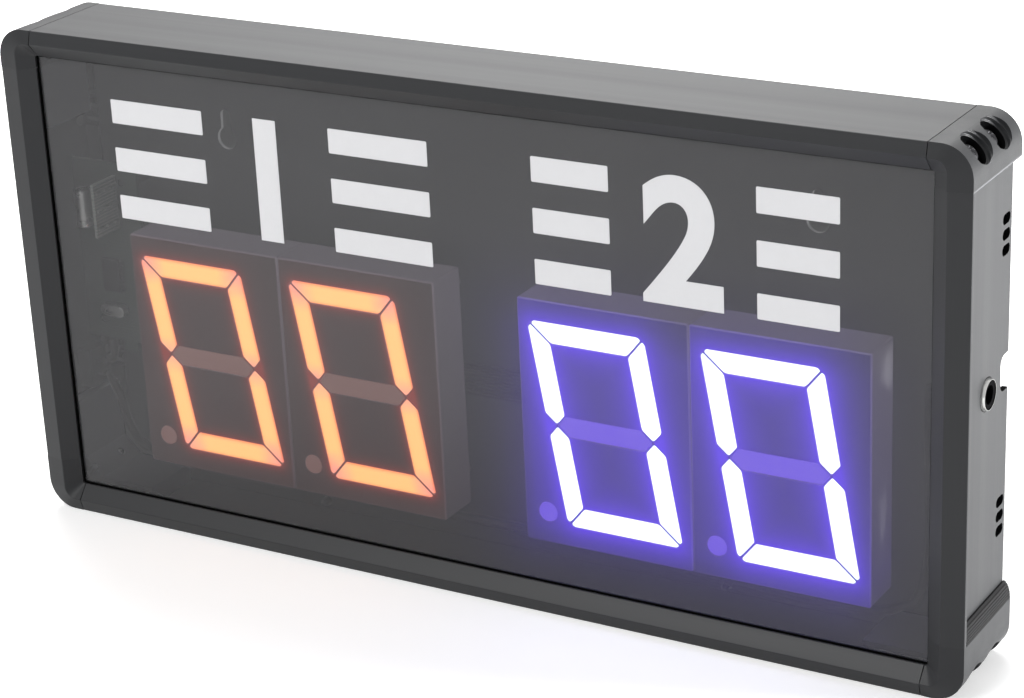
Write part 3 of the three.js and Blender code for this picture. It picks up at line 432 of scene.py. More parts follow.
def combined(piece, others, operation):
    """Cuts other closed meshes out of a piece, or adds them, and removes them."""
    for other in others:
        modifier = piece.modifiers.new(operation.lower(), "BOOLEAN")
        modifier.operation = operation
        modifier.solver = "EXACT"
        modifier.object = other
    result = plain(piece)
    for other in others:
        bpy.data.objects.remove(other)
    return result


def rounded_edges(piece, width, segments=2, degrees=30):
    """Rounds the edges that turn by more than an angle."""
    modifier = piece.modifiers.new("edges", "BEVEL")
    modifier.width = width
    modifier.segments = segments
    modifier.limit_method = "ANGLE"
    modifier.angle_limit = math.radians(degrees)
    return plain(piece)


def eased_copy(node, width, degrees=30):
    """A copy of a CAD node with its doubles merged, its flats whole and its edges rounded."""
    shape = bmesh.new()
    shape.from_mesh(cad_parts[node].data)
    bmesh.ops.remove_doubles(shape, verts=shape.verts, dist=CAD_MERGE)
    bmesh.ops.dissolve_limit(shape, angle_limit=math.radians(1), verts=shape.verts, edges=shape.edges)
    return shade(rounded_edges(mesh_object(node + "_fine", shape), width, degrees=degrees))


# Geometry Nodes


def node_tree(name, sockets):
    """Starts a Geometry Nodes tree with named inputs and one geometry output."""
    tree = bpy.data.node_groups.new(name, "GeometryNodeTree")
    tree.interface.new_socket("Geometry", in_out="INPUT", socket_type="NodeSocketGeometry")
    for label, kind in sockets:
        tree.interface.new_socket(label, in_out="INPUT", socket_type=kind)
    tree.interface.new_socket("Geometry", in_out="OUTPUT", socket_type="NodeSocketGeometry")
    return tree, add_node(tree, "NodeGroupInput").outputs


def close_tree(tree, geometry, material):
    """Ends a tree in Realize Instances and Set Material."""
    real = add_node(tree, "GeometryNodeRealizeInstances", {"Geometry": geometry})
    set_material = add_node(tree, "GeometryNodeSetMaterial", {
        "Geometry": real.outputs[0], "Material": material})
    add_node(tree, "NodeGroupOutput", {"Geometry": set_material.outputs[0]})
    return tree


def extrusion_tree():
    """A section curve, its corners filleted, run along Z."""
    tree, given = node_tree("extruded_section", [
        ("Length", "NodeSocketFloat"),
        ("Edge Radius", "NodeSocketFloat"),
        ("Edge Steps", "NodeSocketInt"),
        ("Material", "NodeSocketMaterial"),
    ])
    section = add_node(tree, "GeometryNodeFilletCurve", {
        "Curve": given["Geometry"],
        "Radius": given["Edge Radius"],
        "Count": given["Edge Steps"],
        "Limit Radius": True,
    }, mode="POLY")
    end = add_node(tree, "ShaderNodeCombineXYZ", {"Z": given["Length"]})
    line = add_node(tree, "GeometryNodeCurvePrimitiveLine", {"End": end.outputs[0]})
    rail = add_node(tree, "GeometryNodeCurveToMesh", {
        "Curve": line.outputs[0],
        "Profile Curve": section.outputs[0],
        "Fill Caps": True,
    })
    return close_tree(tree, rail.outputs[0], given["Material"])


def scatter_tree():
    """A copy of one piece on each point, turned by the point's own angles."""
    tree, given = node_tree("pieces_on_points", [
        ("Piece", "NodeSocketObject"),
        ("Scale", "NodeSocketFloat"),
        ("Material", "NodeSocketMaterial"),
    ])
    piece = add_node(tree, "GeometryNodeObjectInfo", {"Object": given["Piece"]})
    angles = add_node(tree, "GeometryNodeInputNamedAttribute", {"Name": "turn"}, data_type="FLOAT_VECTOR")
    turn = add_node(tree, "FunctionNodeEulerToRotation", {0: angles.outputs[0]})
    copies = add_node(tree, "GeometryNodeInstanceOnPoints", {
        "Points": given["Geometry"],
        "Instance": piece.outputs["Geometry"],
        "Rotation": turn.outputs[0],
        "Scale": given["Scale"],
    })
    return close_tree(tree, copies.outputs[0], given["Material"])


def ribbon_tree():
    """Round wires side by side along a bent route, their row standing along Z."""
    tree, given = node_tree("ribbon_of_wires", [
        ("Wires", "NodeSocketInt"),
        ("Pitch", "NodeSocketFloat"),
        ("Wire Radius", "NodeSocketFloat"),
        ("Sides", "NodeSocketInt"),
        ("Bend Radius", "NodeSocketFloat"),
        ("Bend Steps", "NodeSocketInt"),
        ("Material", "NodeSocketMaterial"),
    ])
    route = add_node(tree, "GeometryNodeFilletCurve", {
        "Curve": given["Geometry"],
        "Radius": given["Bend Radius"],
        "Count": given["Bend Steps"],
        "Limit Radius": True,
    }, mode="POLY")
    width = calculated(tree, "MULTIPLY", calculated(tree, "SUBTRACT", given["Wires"], 1.0), given["Pitch"])
    first = add_node(tree, "ShaderNodeCombineXYZ", {"Z": calculated(tree, "MULTIPLY", width, -0.5)})
    step = add_node(tree, "ShaderNodeCombineXYZ", {"Z": given["Pitch"]})
    spots = add_node(tree, "GeometryNodeMeshLine", {
        "Count": given["Wires"], "Start Location": first.outputs[0], "Offset": step.outputs[0]})
    section = add_node(tree, "GeometryNodeCurvePrimitiveCircle", {
        "Resolution": given["Sides"],
        "Radius": given["Wire Radius"],
    })
    wire = add_node(tree, "GeometryNodeCurveToMesh", {
        "Curve": route.outputs[0],
        "Profile Curve": section.outputs[0],
        "Fill Caps": True,
    })
    ribbon = add_node(tree, "GeometryNodeInstanceOnPoints", {
        "Points": spots.outputs[0],
        "Instance": wire.outputs[0],
    })
    return close_tree(tree, ribbon.outputs[0], given["Material"])


def grown(piece, tree, values):
    """Runs a node tree on a piece with values for its named inputs, and makes the result plain."""
    modifier = piece.modifiers.new(tree.name, "NODES")
    modifier.node_group = tree
    for item in tree.interface.items_tree:
        if item.in_out == "INPUT" and item.name in values:
            modifier[item.identifier] = values[item.name]
    return plain(piece)


def tree_named(name, maker):
    """A node tree by its name, made the first time."""
    return bpy.data.node_groups.get(name) or maker()


def points_with_turns(name, places):
    """A mesh of loose points, each with its own turn."""
    mesh = bpy.data.meshes.new(name)
    mesh.from_pydata([place for place, turn in places], [], [])
    attribute = mesh.attributes.new("turn", "FLOAT_VECTOR", "POINT")
    for i, (place, turn) in enumerate(places):
        attribute.data[i].vector = turn
    return linked(name, mesh)


def copies_on(name, piece, places, material=None):
    """One mesh with a copy of a piece at each (place, turn). The piece itself is removed."""
    points = points_with_turns(name, places)
    result = grown(points, tree_named("pieces_on_points", scatter_tree),
                   {"Piece": piece, "Scale": 1.0, "Material": material})
    bpy.data.objects.remove(piece)
    return result


# Materials


def new_material(name):
    """A material with an empty Principled shader, and its Object coordinates."""
    material = bpy.data.materials.new(name)
    material.use_nodes = True
    tree = material.node_tree
    shader = tree.nodes["Principled BSDF"]
    coordinates = add_node(tree, "ShaderNodeTexCoord")
    return material, tree, shader, coordinates.outputs["Object"]


def mapped(tree, coordinates, scale):
    """Coordinates scaled by one over a real size on each axis."""
    return add_node(tree, "ShaderNodeMapping", {
        "Vector": coordinates, "Scale": [1 / s for s in scale]}).outputs[0]


def noise(tree, vector, detail=3.0):
    """A noise from nought to one."""
    return add_node(tree, "ShaderNodeTexNoise", {
        "Vector": vector, "Scale": 1.0, "Detail": detail, "Roughness": 0.6}).outputs["Fac"]


def ranged(tree, value, low, high, new_low, new_high):
    """Maps a value from one range to another, and clamps it."""
    return add_node(tree, "ShaderNodeMapRange", {
        "Value": value, "From Min": low, "From Max": high, "To Min": new_low, "To Max": new_high}).outputs[0]


def mixed(tree, share, first, second):
    """Mixes two colours."""
    mix = add_node(tree, "ShaderNodeMix", data_type="RGBA")
    for socket, value in ((mix.inputs[0], share), (mix.inputs[6], first), (mix.inputs[7], second)):
        if isinstance(value, bpy.types.NodeSocket):
            tree.links.new(value, socket)
        else:
            socket.default_value = value
    return mix.outputs[2]


def calculated(tree, operation, *values):
    """One Math node of linked or typed values."""
    math_node = add_node(tree, "ShaderNodeMath", operation=operation)
    for i, value in enumerate(values):
        if isinstance(value, bpy.types.NodeSocket):
            tree.links.new(value, math_node.inputs[i])
        else:
            math_node.inputs[i].default_value = value
    return math_node.outputs[0]


def bumped(tree, shader, height, distance):
    """Gives a shader a relief of a real depth."""
    bump = add_node(tree, "ShaderNodeBump", {"Height": height, "Distance": distance})
    tree.links.new(bump.outputs[0], shader.inputs["Normal"])


def textured(name, colour, roughness, grain, relief, spread, metallic=0.0, mottle=18 * mm,
             roughness_spread=0.06, stretch=(1, 1, 1)):
    """A finish with a fine grain, slow mottling of its colour and a varied roughness."""
    material, tree, shader, place = new_material(name)
    fine = noise(tree, mapped(tree, place, [grain * s for s in stretch]), detail=2.0)
    slow = noise(tree, mapped(tree, place, [mottle * s for s in stretch]), detail=4.0)
    dark = [c * (1 - spread) for c in colour[:3]] + [1]
    light = [min(1, c * (1 + spread)) for c in colour[:3]] + [1]
    share = ranged(tree, calculated(tree, "ADD", calculated(tree, "MULTIPLY", fine, 0.4),
                                    calculated(tree, "MULTIPLY", slow, 0.6)), 0.3, 0.7, 0, 1)
    tree.links.new(mixed(tree, share, dark, light), shader.inputs["Base Color"])
    tree.links.new(ranged(tree, slow, 0.3, 0.7, roughness - roughness_spread, roughness + roughness_spread),
                   shader.inputs["Roughness"])
    bumped(tree, shader, fine, relief)
    shader.inputs["Metallic"].default_value = metallic
    return material


def dulled(material, sheen):
    """Weak reflections, and a soft sheen at low angles."""
    shader = material.node_tree.nodes["Principled BSDF"]
    shader.inputs["Sheen Weight"].default_value = sheen
    shader.inputs["Sheen Roughness"].default_value = 0.45
    shader.inputs["Specular IOR Level"].default_value = 0.28
    return material


def anodised_aluminium(name, colour, along):
    """Black anodised extrusion: satin, with faint die lines along it and a soft sheen at low angles."""
    # The die lines are half a millimetre apart, coarser than real ones, so that they show
    stretch = [DIE_LINE_STRETCH if axis == along else 1 for axis in "xyz"]
    material = textured(name, colour, roughness=0.42, grain=0.5 * mm, relief=0.012 * mm, spread=0.08,
                        stretch=stretch)
    return dulled(material, sheen=0.1)


def moulded_plastic(name, colour, roughness=0.46, sheen=0.08):
    """Moulded ABS with a spark-eroded texture: an even dull shine with a fine grain."""
    # The grain is about twice as wide as a real one, so that it shows
    material = textured(name, colour, roughness, grain=0.35 * mm, relief=0.02 * mm, spread=0.07)
    return dulled(material, sheen)


def painted_edge_highlight(material, height, width, colour):
    """The same plastic with a painted highlight: a pale narrow band along the lower edge of its side."""
    tree = material.node_tree
    base = tree.nodes["Principled BSDF"].inputs["Base Color"]
    place = add_node(tree, "ShaderNodeSeparateXYZ", {0: tree.nodes["Texture Coordinate"].outputs["Object"]})
    normal = add_node(tree, "ShaderNodeSeparateXYZ", {
        0: add_node(tree, "ShaderNodeNewGeometry").outputs["True Normal"]})
    sideways = calculated(tree, "GREATER_THAN", calculated(tree, "ABSOLUTE", normal.outputs["X"]), 0.7)
    low = ranged(tree, place.outputs["Z"], height, height + width, 1, 0)
    band = calculated(tree, "MULTIPLY", low, sideways)
    tree.links.new(mixed(tree, band, base.links[0].from_socket, colour), base)
    return material


def dull_dark_finish(name, colour):
    """A matt, nearly black finish with almost no shine, so the ribs read by their shadows."""
    material = textured(name, colour, roughness=0.75, grain=0.3 * mm, relief=0.02 * mm, spread=0.1)
    material.node_tree.nodes["Principled BSDF"].inputs["Specular IOR Level"].default_value = 0.2
    return material


def matt_black_and_shade(name, colour):
    """Dull and nearly black: painted shade on the walls of openings and pocket bores, and the own colour of
    black foam and nylon.
    """
    material = textured(name, colour, roughness=0.9, grain=0.3 * mm, relief=0.02 * mm, spread=0.1)
    material.node_tree.nodes["Principled BSDF"].inputs["Specular IOR Level"].default_value = 0.02
    return material


def powder_coat(name, colour):
    """Powder coat on steel sheet: a soft orange peel about a millimetre wide."""
    return textured(name, colour, roughness=0.5, grain=0.9 * mm, relief=0.05 * mm, spread=0.06,
                    roughness_spread=0.015)


def plated_metal(name, colour, roughness):
    """Nickel or zinc plate: bright, with faint clouding and handling marks."""
    return textured(name, colour, roughness, grain=0.4 * mm, relief=0.004 * mm, spread=0.06, metallic=1.0,
                    mottle=6 * mm)


def distance_to_digit(tree, place, centre):
    """How far a point of the face lies from the lit ring of bars, how far outside it, and from its ribs."""
    local = add_node(tree, "ShaderNodeVectorMath", {0: place, 1: centre}, operation="SUBTRACT").outputs[0]
    parts = add_node(tree, "ShaderNodeSeparateXYZ", {0: local})
    upright = calculated(tree, "SUBTRACT", parts.outputs["X"],
                         calculated(tree, "MULTIPLY", parts.outputs["Z"], LEAN))
    across = calculated(tree, "SUBTRACT", calculated(tree, "ABSOLUTE", upright), BAR_LINE_X)
    over = calculated(tree, "SUBTRACT", calculated(tree, "ABSOLUTE", parts.outputs["Z"]), BAR_LINE_Z)
    outside = calculated(tree, "SQRT", calculated(
        tree, "ADD",
        calculated(tree, "POWER", calculated(tree, "MAXIMUM", across, 0.0), 2.0),
        calculated(tree, "POWER", calculated(tree, "MAXIMUM", over, 0.0), 2.0)))
    inside = calculated(tree, "MINIMUM", calculated(tree, "MAXIMUM", across, over), 0.0)
    ring = calculated(tree, "ABSOLUTE", calculated(tree, "ADD", outside, inside))
    distance, beyond = [
        calculated(tree, "MAXIMUM", calculated(tree, "SUBTRACT", part, SEGMENT_WIDTH / 2), 0.0)
        for part in (ring, outside)]
    notch = calculated(tree, "SUBTRACT", across, calculated(tree, "ABSOLUTE", parts.outputs["Z"]))
    return distance, beyond, calculated(tree, "MAXIMUM", distance, notch)


def faded(tree, distance, reach):
    """One on the bars, falling away over a reach."""
    return calculated(tree, "EXPONENT", calculated(tree, "MULTIPLY", distance, -1 / reach))


def digit_housing_plastic(name, colour, centre, halo, near, far):
    """Black polycarbonate face: matt, with a painted glow that stands for the light its own bars spill on it.
    """
    material, tree, shader, place = new_material(name)
    grain = noise(tree, mapped(tree, place, [0.4 * mm] * 3), detail=2.0)
    dark, light = [[c * share for c in colour[:3]] + [1] for share in (0.9, 1.1)]
    tree.links.new(mixed(tree, grain, dark, light), shader.inputs["Base Color"])
    shader.inputs["Roughness"].default_value = 0.55
    bumped(tree, shader, grain, 0.015 * mm)
    distance, beyond, from_ribs = distance_to_digit(tree, place, centre)
    spread = calculated(tree, "ADD", distance, calculated(tree, "MULTIPLY", beyond, OUTWARD_FADE))
    # The narrow ribs between the bars get little of the painted spill, and read as dark lines
    clear = ranged(tree, from_ribs, RIB_MARGIN / 2, RIB_MARGIN, RIB_SPILL, 1)
    normal = add_node(tree, "ShaderNodeSeparateXYZ", {
        0: add_node(tree, "ShaderNodeNewGeometry").outputs["True Normal"]})
    forward = calculated(tree, "ABSOLUTE", normal.outputs["Y"])
    face = calculated(tree, "GREATER_THAN", forward, 0.9)
    wall = calculated(tree, "LESS_THAN", forward, 0.3)
    edge = calculated(tree, "SUBTRACT", calculated(tree, "SUBTRACT", 1.0, face), wall)
    # The walls take little of the painted spill, the eased edges take all of it
    clear = calculated(tree, "ADD", calculated(tree, "MULTIPLY", clear, face), calculated(
        tree, "ADD", edge, calculated(tree, "MULTIPLY", wall, WALL_SPILL)))
    # The walls and the edges get a painted light that grows towards the top, where light reaches past the
    # panel
    height = add_node(tree, "ShaderNodeSeparateXYZ", {0: place}).outputs["Z"]
    painted_wall_light = calculated(tree, "MULTIPLY", calculated(tree, "ADD", wall, calculated(
        tree, "MULTIPLY", edge, 1 + EDGE_GLOW)), ranged(tree, height, MODULE_LOW.z, MODULE_HIGH.z, 0.35, 1.0))
    parts = [(WALL_GLOW, painted_wall_light)]
    for (reach, strength), way in ((near, distance), (far, spread)):
        amount = calculated(tree, "MULTIPLY", faded(tree, way, reach), strength)
        parts.append((halo[:3], calculated(tree, "MULTIPLY", amount, clear)))
    glow = (0, 0, 0)
    for tint, amount in parts:
        part = add_node(tree, "ShaderNodeVectorMath", {0: tint, "Scale": amount}, operation="SCALE")
        total = add_node(tree, "ShaderNodeVectorMath", {0: glow, 1: part.outputs[0]}, operation="ADD")
        glow = total.outputs[0]
    tree.links.new(glow, shader.inputs["Emission Color"])
    shader.inputs["Emission Strength"].default_value = 1.0
    return material


def lit_diffuser(name, core, tip, edge, strength):
    """A cast epoxy bar lit from behind: brightest along its middle, deeper at its rim and tips."""
    material, tree, shader, place = new_material(name)
    uv = add_node(tree, "ShaderNodeUVMap", uv_map="bar").outputs[0]
    parts = add_node(tree, "ShaderNodeSeparateXYZ", {0: uv})
    along = calculated(tree, "ABSOLUTE", parts.outputs["X"])
    across = calculated(tree, "ABSOLUTE", parts.outputs["Y"])
    cloud = noise(tree, mapped(tree, place, [5 * mm] * 3), detail=1.0)
    clouded = calculated(tree, "ADD", along, calculated(tree, "MULTIPLY", cloud, 0.2))
    tips = ranged(tree, clouded, 0.62, 1.02, 0, 1)
    rims = ranged(tree, across, 0.7, 1.0, 0, 0.8)
    colour = mixed(tree, rims, mixed(tree, tips, core, tip), edge)
    tree.links.new(colour, shader.inputs["Emission Color"])
    tree.links.new(colour, shader.inputs["Base Color"])
    shader.inputs["Emission Strength"].default_value = strength
    shader.inputs["Roughness"].default_value = 0.4
    return material


def unlit_diffuser(name, colour, glow, strength):
    """The same epoxy unlit: milky grey, with a little painted glow of its neighbours' light in it."""
    material = textured(name, colour, roughness=0.4, grain=0.8 * mm, relief=0.005 * mm, spread=0.08)
    shader = material.node_tree.nodes["Principled BSDF"]
    shader.inputs["Emission Color"].default_value = glow
    shader.inputs["Emission Strength"].default_value = strength
    return material


def smoked_acrylic(name, colour, veil, panel_glow, panel_glow_centre, panel_glow_half):
    """Smoked cast acrylic: glossy, a grey veil over what lies behind, with a painted glow near the lit bars.
    """
    material, tree, shader, place = new_material(name)
    parts = add_node(tree, "ShaderNodeSeparateXYZ", {0: place})
    front = calculated(tree, "LESS_THAN", parts.outputs["Y"], PANEL_MIDDLE)
    tree.links.new(ranged(tree, front, 0, 1, 0.02, veil), shader.inputs["Alpha"])
    shader.inputs["Base Color"].default_value = colour
    shader.inputs["Roughness"].default_value = 0.12
    shader.inputs["IOR"].default_value = 1.49
    ripple = noise(tree, mapped(tree, place, [60 * mm, 60 * mm, 60 * mm]), detail=1.0)
    bumped(tree, shader, ripple, 0.05 * mm)
    # A painted glow that fades away from the box round the lit bars
    squares = []
    for axis, centre, half in zip("XZ", panel_glow_centre, panel_glow_half):
        off = calculated(tree, "ABSOLUTE", calculated(tree, "SUBTRACT", parts.outputs[axis], centre))
        past = calculated(tree, "MAXIMUM", calculated(tree, "SUBTRACT", off, half), 0.0)
        squares.append(calculated(tree, "POWER", past, 2.0))
    distance = calculated(tree, "SQRT", calculated(tree, "ADD", *squares))
    strength = calculated(tree, "MULTIPLY", calculated(
        tree, "MULTIPLY", faded(tree, distance, PANEL_GLOW_REACH), PANEL_GLOW_STRENGTH), front)
    shader.inputs["Emission Color"].default_value = panel_glow
    tree.links.new(strength, shader.inputs["Emission Strength"])
    return material


def film(name, colour):
    """Cut self-adhesive vinyl: white, even, barely glossy."""
    return textured(name, colour, roughness=0.38, grain=1.5 * mm, relief=0.004 * mm, spread=0.015)


def circuit_board(name, mask, copper):
    """Glass-epoxy board under green solder mask, with fine tracks faintly showing through."""
    # The tracks are coarser than real ones, so that they show through the panel
    material, tree, shader, place = new_material(name)
    parts = add_node(tree, "ShaderNodeSeparateXYZ", {0: place})
    flat = add_node(tree, "ShaderNodeCombineXYZ", {"X": parts.outputs["X"], "Y": parts.outputs["Z"]})
    tracks = add_node(tree, "ShaderNodeTexBrick", {
        "Vector": flat.outputs[0], "Scale": 1 / (5 * mm), "Mortar Size": 0.05,
        "Color1": mask, "Color2": [c * 0.9 for c in mask[:3]] + [1], "Mortar": copper,
    })
    speckle = noise(tree, mapped(tree, place, [0.6 * mm] * 3))
    cloth = ranged(tree, speckle, 0.35, 0.65, 0, 0.25)
    tree.links.new(mixed(tree, cloth, tracks.outputs["Color"], copper), shader.inputs["Base Color"])
    shader.inputs["Roughness"].default_value = 0.35
    bumped(tree, shader, tracks.outputs["Fac"], 0.03 * mm)
    return material


# Shapes that follow from the frame
PANEL_LOW, PANEL_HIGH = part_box("front_panel")
PANEL_MIDDLE = (PANEL_LOW.y + PANEL_HIGH.y) / 2
MODULE_LOW, MODULE_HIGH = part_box("digit_housing_left_tens")
DIGIT_WIDTH = MODULE_HIGH.x - MODULE_LOW.x - 2 * DIGIT_MARGIN
BAR_LINE_X = (DIGIT_WIDTH - SEGMENT_WIDTH) / 2
BAR_LINE_Z = (DIGIT_HEIGHT - SEGMENT_WIDTH) / 2
POCKET_FLOOR = CORNER_RADIUS - POCKET_BORE_DEPTH
POINT_PLACE = Vector((-(MODULE_HIGH.x - MODULE_LOW.x) / 2 + POINT_MARGIN, -POINT_DROP))
LIT_BARS = 6
VENT_MIDDLES = (HEIGHT - VENT_CAP_MARGIN, VENT_LOW)
RIBBONS = {
    "ribbon_cable_controller": ("controller_board", "display_board_left"),
    "ribbon_cable_displays": ("display_board_left", "display_board_right"),
}
DIGITS = [(pair, digit) for pair in ("left", "right") for digit in ("tens", "units")]
CORNERS = [(level, side) for level in ("top", "bottom") for side in ("left", "right")]


def middle_of(node):
    """The middle of a node's box."""
    low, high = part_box(node)
    return (low + high) / 2


def corner_axis(level, side):
    """The middle line of a corner's round edge, and the way out of it at 45 degrees."""
    across = 1 if side == "right" else -1
    up = 1 if level == "top" else -1
    z = HEIGHT - CORNER_RADIUS if up > 0 else CORNER_RADIUS
    return Vector((across * (HALF_WIDTH - CORNER_RADIUS), 0, z)), Vector((across, 0, up)).normalized()


# Rails


def rail_section(ridge_inset, bevel_inset, recess, inner, ledge_reach):
    """The rail's section as (inset, depth) points."""
    back = HIGH.y - at(0)
    flange_back = back - FLANGE_TO_BACK
    flange_front = flange_back - FLANGE_THICKNESS
    points = [
        (0, 0),
        (ridge_inset, -RIDGE_RISE),
        (bevel_inset, BEVEL_DROP),
        (bevel_inset, LIP_BACK),
        (inner, LIP_BACK),
        (inner, LEDGE_FRONT),
        (ledge_reach, LEDGE_FRONT),
        (ledge_reach, LEDGE_BACK),
        (inner, LEDGE_BACK),
        (inner, flange_front),
        (inner + FLANGE_REACH, flange_front),
        (inner + FLANGE_REACH, flange_back),
        (inner, flange_back),
        (inner, back),
        (recess, back),
    ]
    if recess > 0:
        points += [(recess, RIM_DEPTH), (0, RIM_DEPTH)]
    return points


def extruded(name, points, length, radius, material):
    """Runs the section tree on an outline of 2D points."""
    curve = bpy.data.curves.new(name, "CURVE")
    curve.dimensions = "3D"
    spline = curve.splines.new("POLY")
    spline.points.add(len(points) - 1)
    for point, (a, b) in zip(spline.points, points):
        point.co = (a, b, 0, 1)
    spline.use_cyclic_u = True
    rail = grown(linked(name, curve), tree_named("extruded_section", extrusion_tree), {
        "Length": length, "Edge Radius": radius, "Edge Steps": EASE_STEPS, "Material": material})
    shape = bmesh.new()
    shape.from_mesh(rail.data)
    bmesh.ops.remove_doubles(shape, verts=shape.verts, dist=MERGE)
    bmesh.ops.recalc_face_normals(shape, faces=shape.faces)
    shape.to_mesh(rail.data)
    shape.free()
    return rail


def arc(centre, radius, start, end, steps=ARC_STEPS):
    """Points along an arc, with its angles in degrees."""
    angles = [math.radians(start + (end - start) * i / steps) for i in range(steps + 1)]
    return [Vector((centre[0] + radius * math.cos(a), centre[1] + radius * math.sin(a))) for a in angles]


def flange_hole_tools(name):
    """Holes for the cover's screws, along Y."""
    middles = [middle_of(screw) for screw in COVER_SCREWS]
    hole = turned(name + "_hole", [
        (0, 0), (SCREW_RADIUS + GAP, 0), (SCREW_RADIUS + GAP, FLANGE_HOLE_DEPTH + OVERRUN),
        (0, FLANGE_HOLE_DEPTH + OVERRUN)], ROUND_SIDES // 2)
    turn = AXES["y"].to_track_quat("Z", "X").to_euler()
    places = [(Vector((m.x, HIGH.y - FLANGE_HOLE_DEPTH, m.z)), turn) for m in middles]
    return copies_on(name, hole, places)


def vent_tools(name, side):
    """Oval vents near the back edge, in two groups."""
    outer = HALF_WIDTH - SIDE_RECESS
    deep = HALF_WIDTH - SIDE_INNER - FLANGE_REACH - OVERRUN
    radius = VENT_WIDTH / 2
    straight = (VENT_LENGTH - VENT_WIDTH) / 2
    outline = arc((straight, 0), radius, -90, 90) + arc((-straight, 0), radius, 90, 270)
    low, high = sorted((side * deep, side * (outer + OVERRUN)))
    vent = prism(name + "_vent", outline, "x", low, high)
    y = HIGH.y - VENT_BACK_MARGIN
    places = []
    for middle in VENT_MIDDLES:
        for i in range(VENT_COUNT):
            z = middle + (i - (VENT_COUNT - 1) / 2) * VENT_PITCH
            places.append((Vector((0, y, z)), Vector((0, 0, 0))))
    return copies_on(name, vent, places)


def notch_tool(name):
    """The cable notch, open at the back edge."""
    back = HIGH.y + OVERRUN
    inner = HIGH.y - NOTCH_DEPTH + NOTCH_RADIUS
    low = NOTCH_HEIGHT - NOTCH_WIDTH / 2
    high = NOTCH_HEIGHT + NOTCH_WIDTH / 2
    outline = [Vector((back, low)), Vector((back, high))]
    outline += arc((inner, high - NOTCH_RADIUS), NOTCH_RADIUS, 90, 180)
    outline += arc((inner, low + NOTCH_RADIUS), NOTCH_RADIUS, 180, 270)
    return prism(name, outline, "x", HALF_WIDTH - SIDE_INNER - FLANGE_REACH - OVERRUN, HALF_WIDTH + OVERRUN)


def box_tool(name, low, high):
    """A box between two corners."""
    corners = ((low[0], low[1]), (high[0], low[1]), (high[0], high[1]), (low[0], high[1]))
    return prism(name, [Vector(corner) for corner in corners], "z", low[2], high[2])


def side_rail(side, settings, material):
    """The left or right rail, cut for its vents and holes, and its node's name."""
    name = "right_rail" if side > 0 else "left_rail"
    section = rail_section(SIDE_RIDGE_INSET, SIDE_BEVEL_INSET, SIDE_RECESS, SIDE_INNER, SIDE_LEDGE_REACH)
    low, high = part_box(name)
    points = [(side * (HALF_WIDTH - inset), at(depth)) for inset, depth in section]
    low.z -= GAP
    high.z += GAP
    rail = extruded(name + "_extrusion", points, high.z - low.z, settings.edge_radius, material)
    placed(rail, Matrix.Translation((0, 0, low.z)))
    tools = [vent_tools(name + "_vents", side), flange_hole_tools(name + "_screw_holes")]
    if side > 0:
        socket = middle_of("power_socket_ring")
        hole = turned("socket_hole", [
            (0, 0), (SOCKET_HOLE_RADIUS, 0), (SOCKET_HOLE_RADIUS, SOCKET_HOLE_REACH), (0, SOCKET_HOLE_REACH),
        ], FINE_SIDES)
        start = Vector((HALF_WIDTH + OVERRUN - SOCKET_HOLE_REACH, socket.y, socket.z))
        placed(hole, pointing(start, AXES["x"]))
        tools += [notch_tool("right_notch"), hole]
    else:
        switch = middle_of("power_switch_body")
        reach = Vector((0, CUTOUT_HALF_WIDTH, CUTOUT_HALF_LENGTH))
        outside = -HALF_WIDTH + SIDE_RECESS
        tools.append(box_tool("switch_cutout", Vector((outside - OVERRUN, switch.y, switch.z)) - reach,
                              Vector((outside + CUTOUT_DEPTH, switch.y, switch.z)) + reach))
    return combined(rail, tools, "DIFFERENCE"), name


def cap_rail(level, settings, material):
    """The top or bottom rail, cut for the cover's screws, and its node's name."""
    name = "top_rail" if level > 0 else "bottom_rail"
    section = rail_section(CAP_RIDGE_INSET, CAP_BEVEL_INSET, 0, CAP_WALL, CAP_LEDGE_REACH)
    low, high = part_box(name)
    points = [(at(depth), HEIGHT - inset if level > 0 else inset) for inset, depth in section]
    rail = extruded(name + "_extrusion", points, high.x - low.x, settings.edge_radius, material)
    # The section lies in YZ and runs along X
    cycle = Matrix(((0, 0, 1, low.x), (1, 0, 0, 0), (0, 1, 0, 0), (0, 0, 0, 1)))
    placed(rail, cycle)
    return combined(rail, [flange_hole_tools(name + "_screw_holes")], "DIFFERENCE"), name


# Corner pieces


def corner_loft(name, side_span, settings):
    """The top right corner's shell: one rounded section line after another, joined."""
    back = HIGH.y - at(0)
    inner_radius = CORNER_RADIUS - CORNER_WALL
    section = [
        (0, 0, CORNER_RADIUS, 0),
        (SIDE_RIDGE_INSET, CAP_RIDGE_INSET, RIDGE_RADIUS, -RIDGE_RISE),
        (SIDE_BEVEL_INSET, CAP_BEVEL_INSET, BEVEL_RADIUS, BEVEL_DROP),
        (SIDE_BEVEL_INSET, CAP_BEVEL_INSET, BEVEL_RADIUS, LIP_BACK),
        (CORNER_WALL, CORNER_WALL, inner_radius, LIP_BACK),
        (CORNER_WALL, CORNER_WALL, inner_radius, back),
        (0, 0, CORNER_RADIUS, back),
    ]
    lines = eased([Vector(line) for line in section], settings.edge_radius)
    shape = bmesh.new()
    rings = []
    for side_inset, cap_inset, radius, depth in lines:
        x = HALF_WIDTH - side_inset
        z = HEIGHT - cap_inset
        line = [Vector((x, HEIGHT - side_span))]
        line += arc((x - radius, z - radius), radius, 0, 90)
        line.append(Vector((HALF_WIDTH - CORNER_SPAN, z)))
        rings.append([shape.verts.new((p.x, at(depth), p.y)) for p in line])
    for first, second in zip(rings, rings[1:] + rings[:1]):
        for i in range(len(first) - 1):
            shape.faces.new((first[i], first[i + 1], second[i + 1], second[i]))
    shape.faces.new([ring[0] for ring in rings])
    shape.faces.new([ring[-1] for ring in rings])
    return piece_from(name, shape)


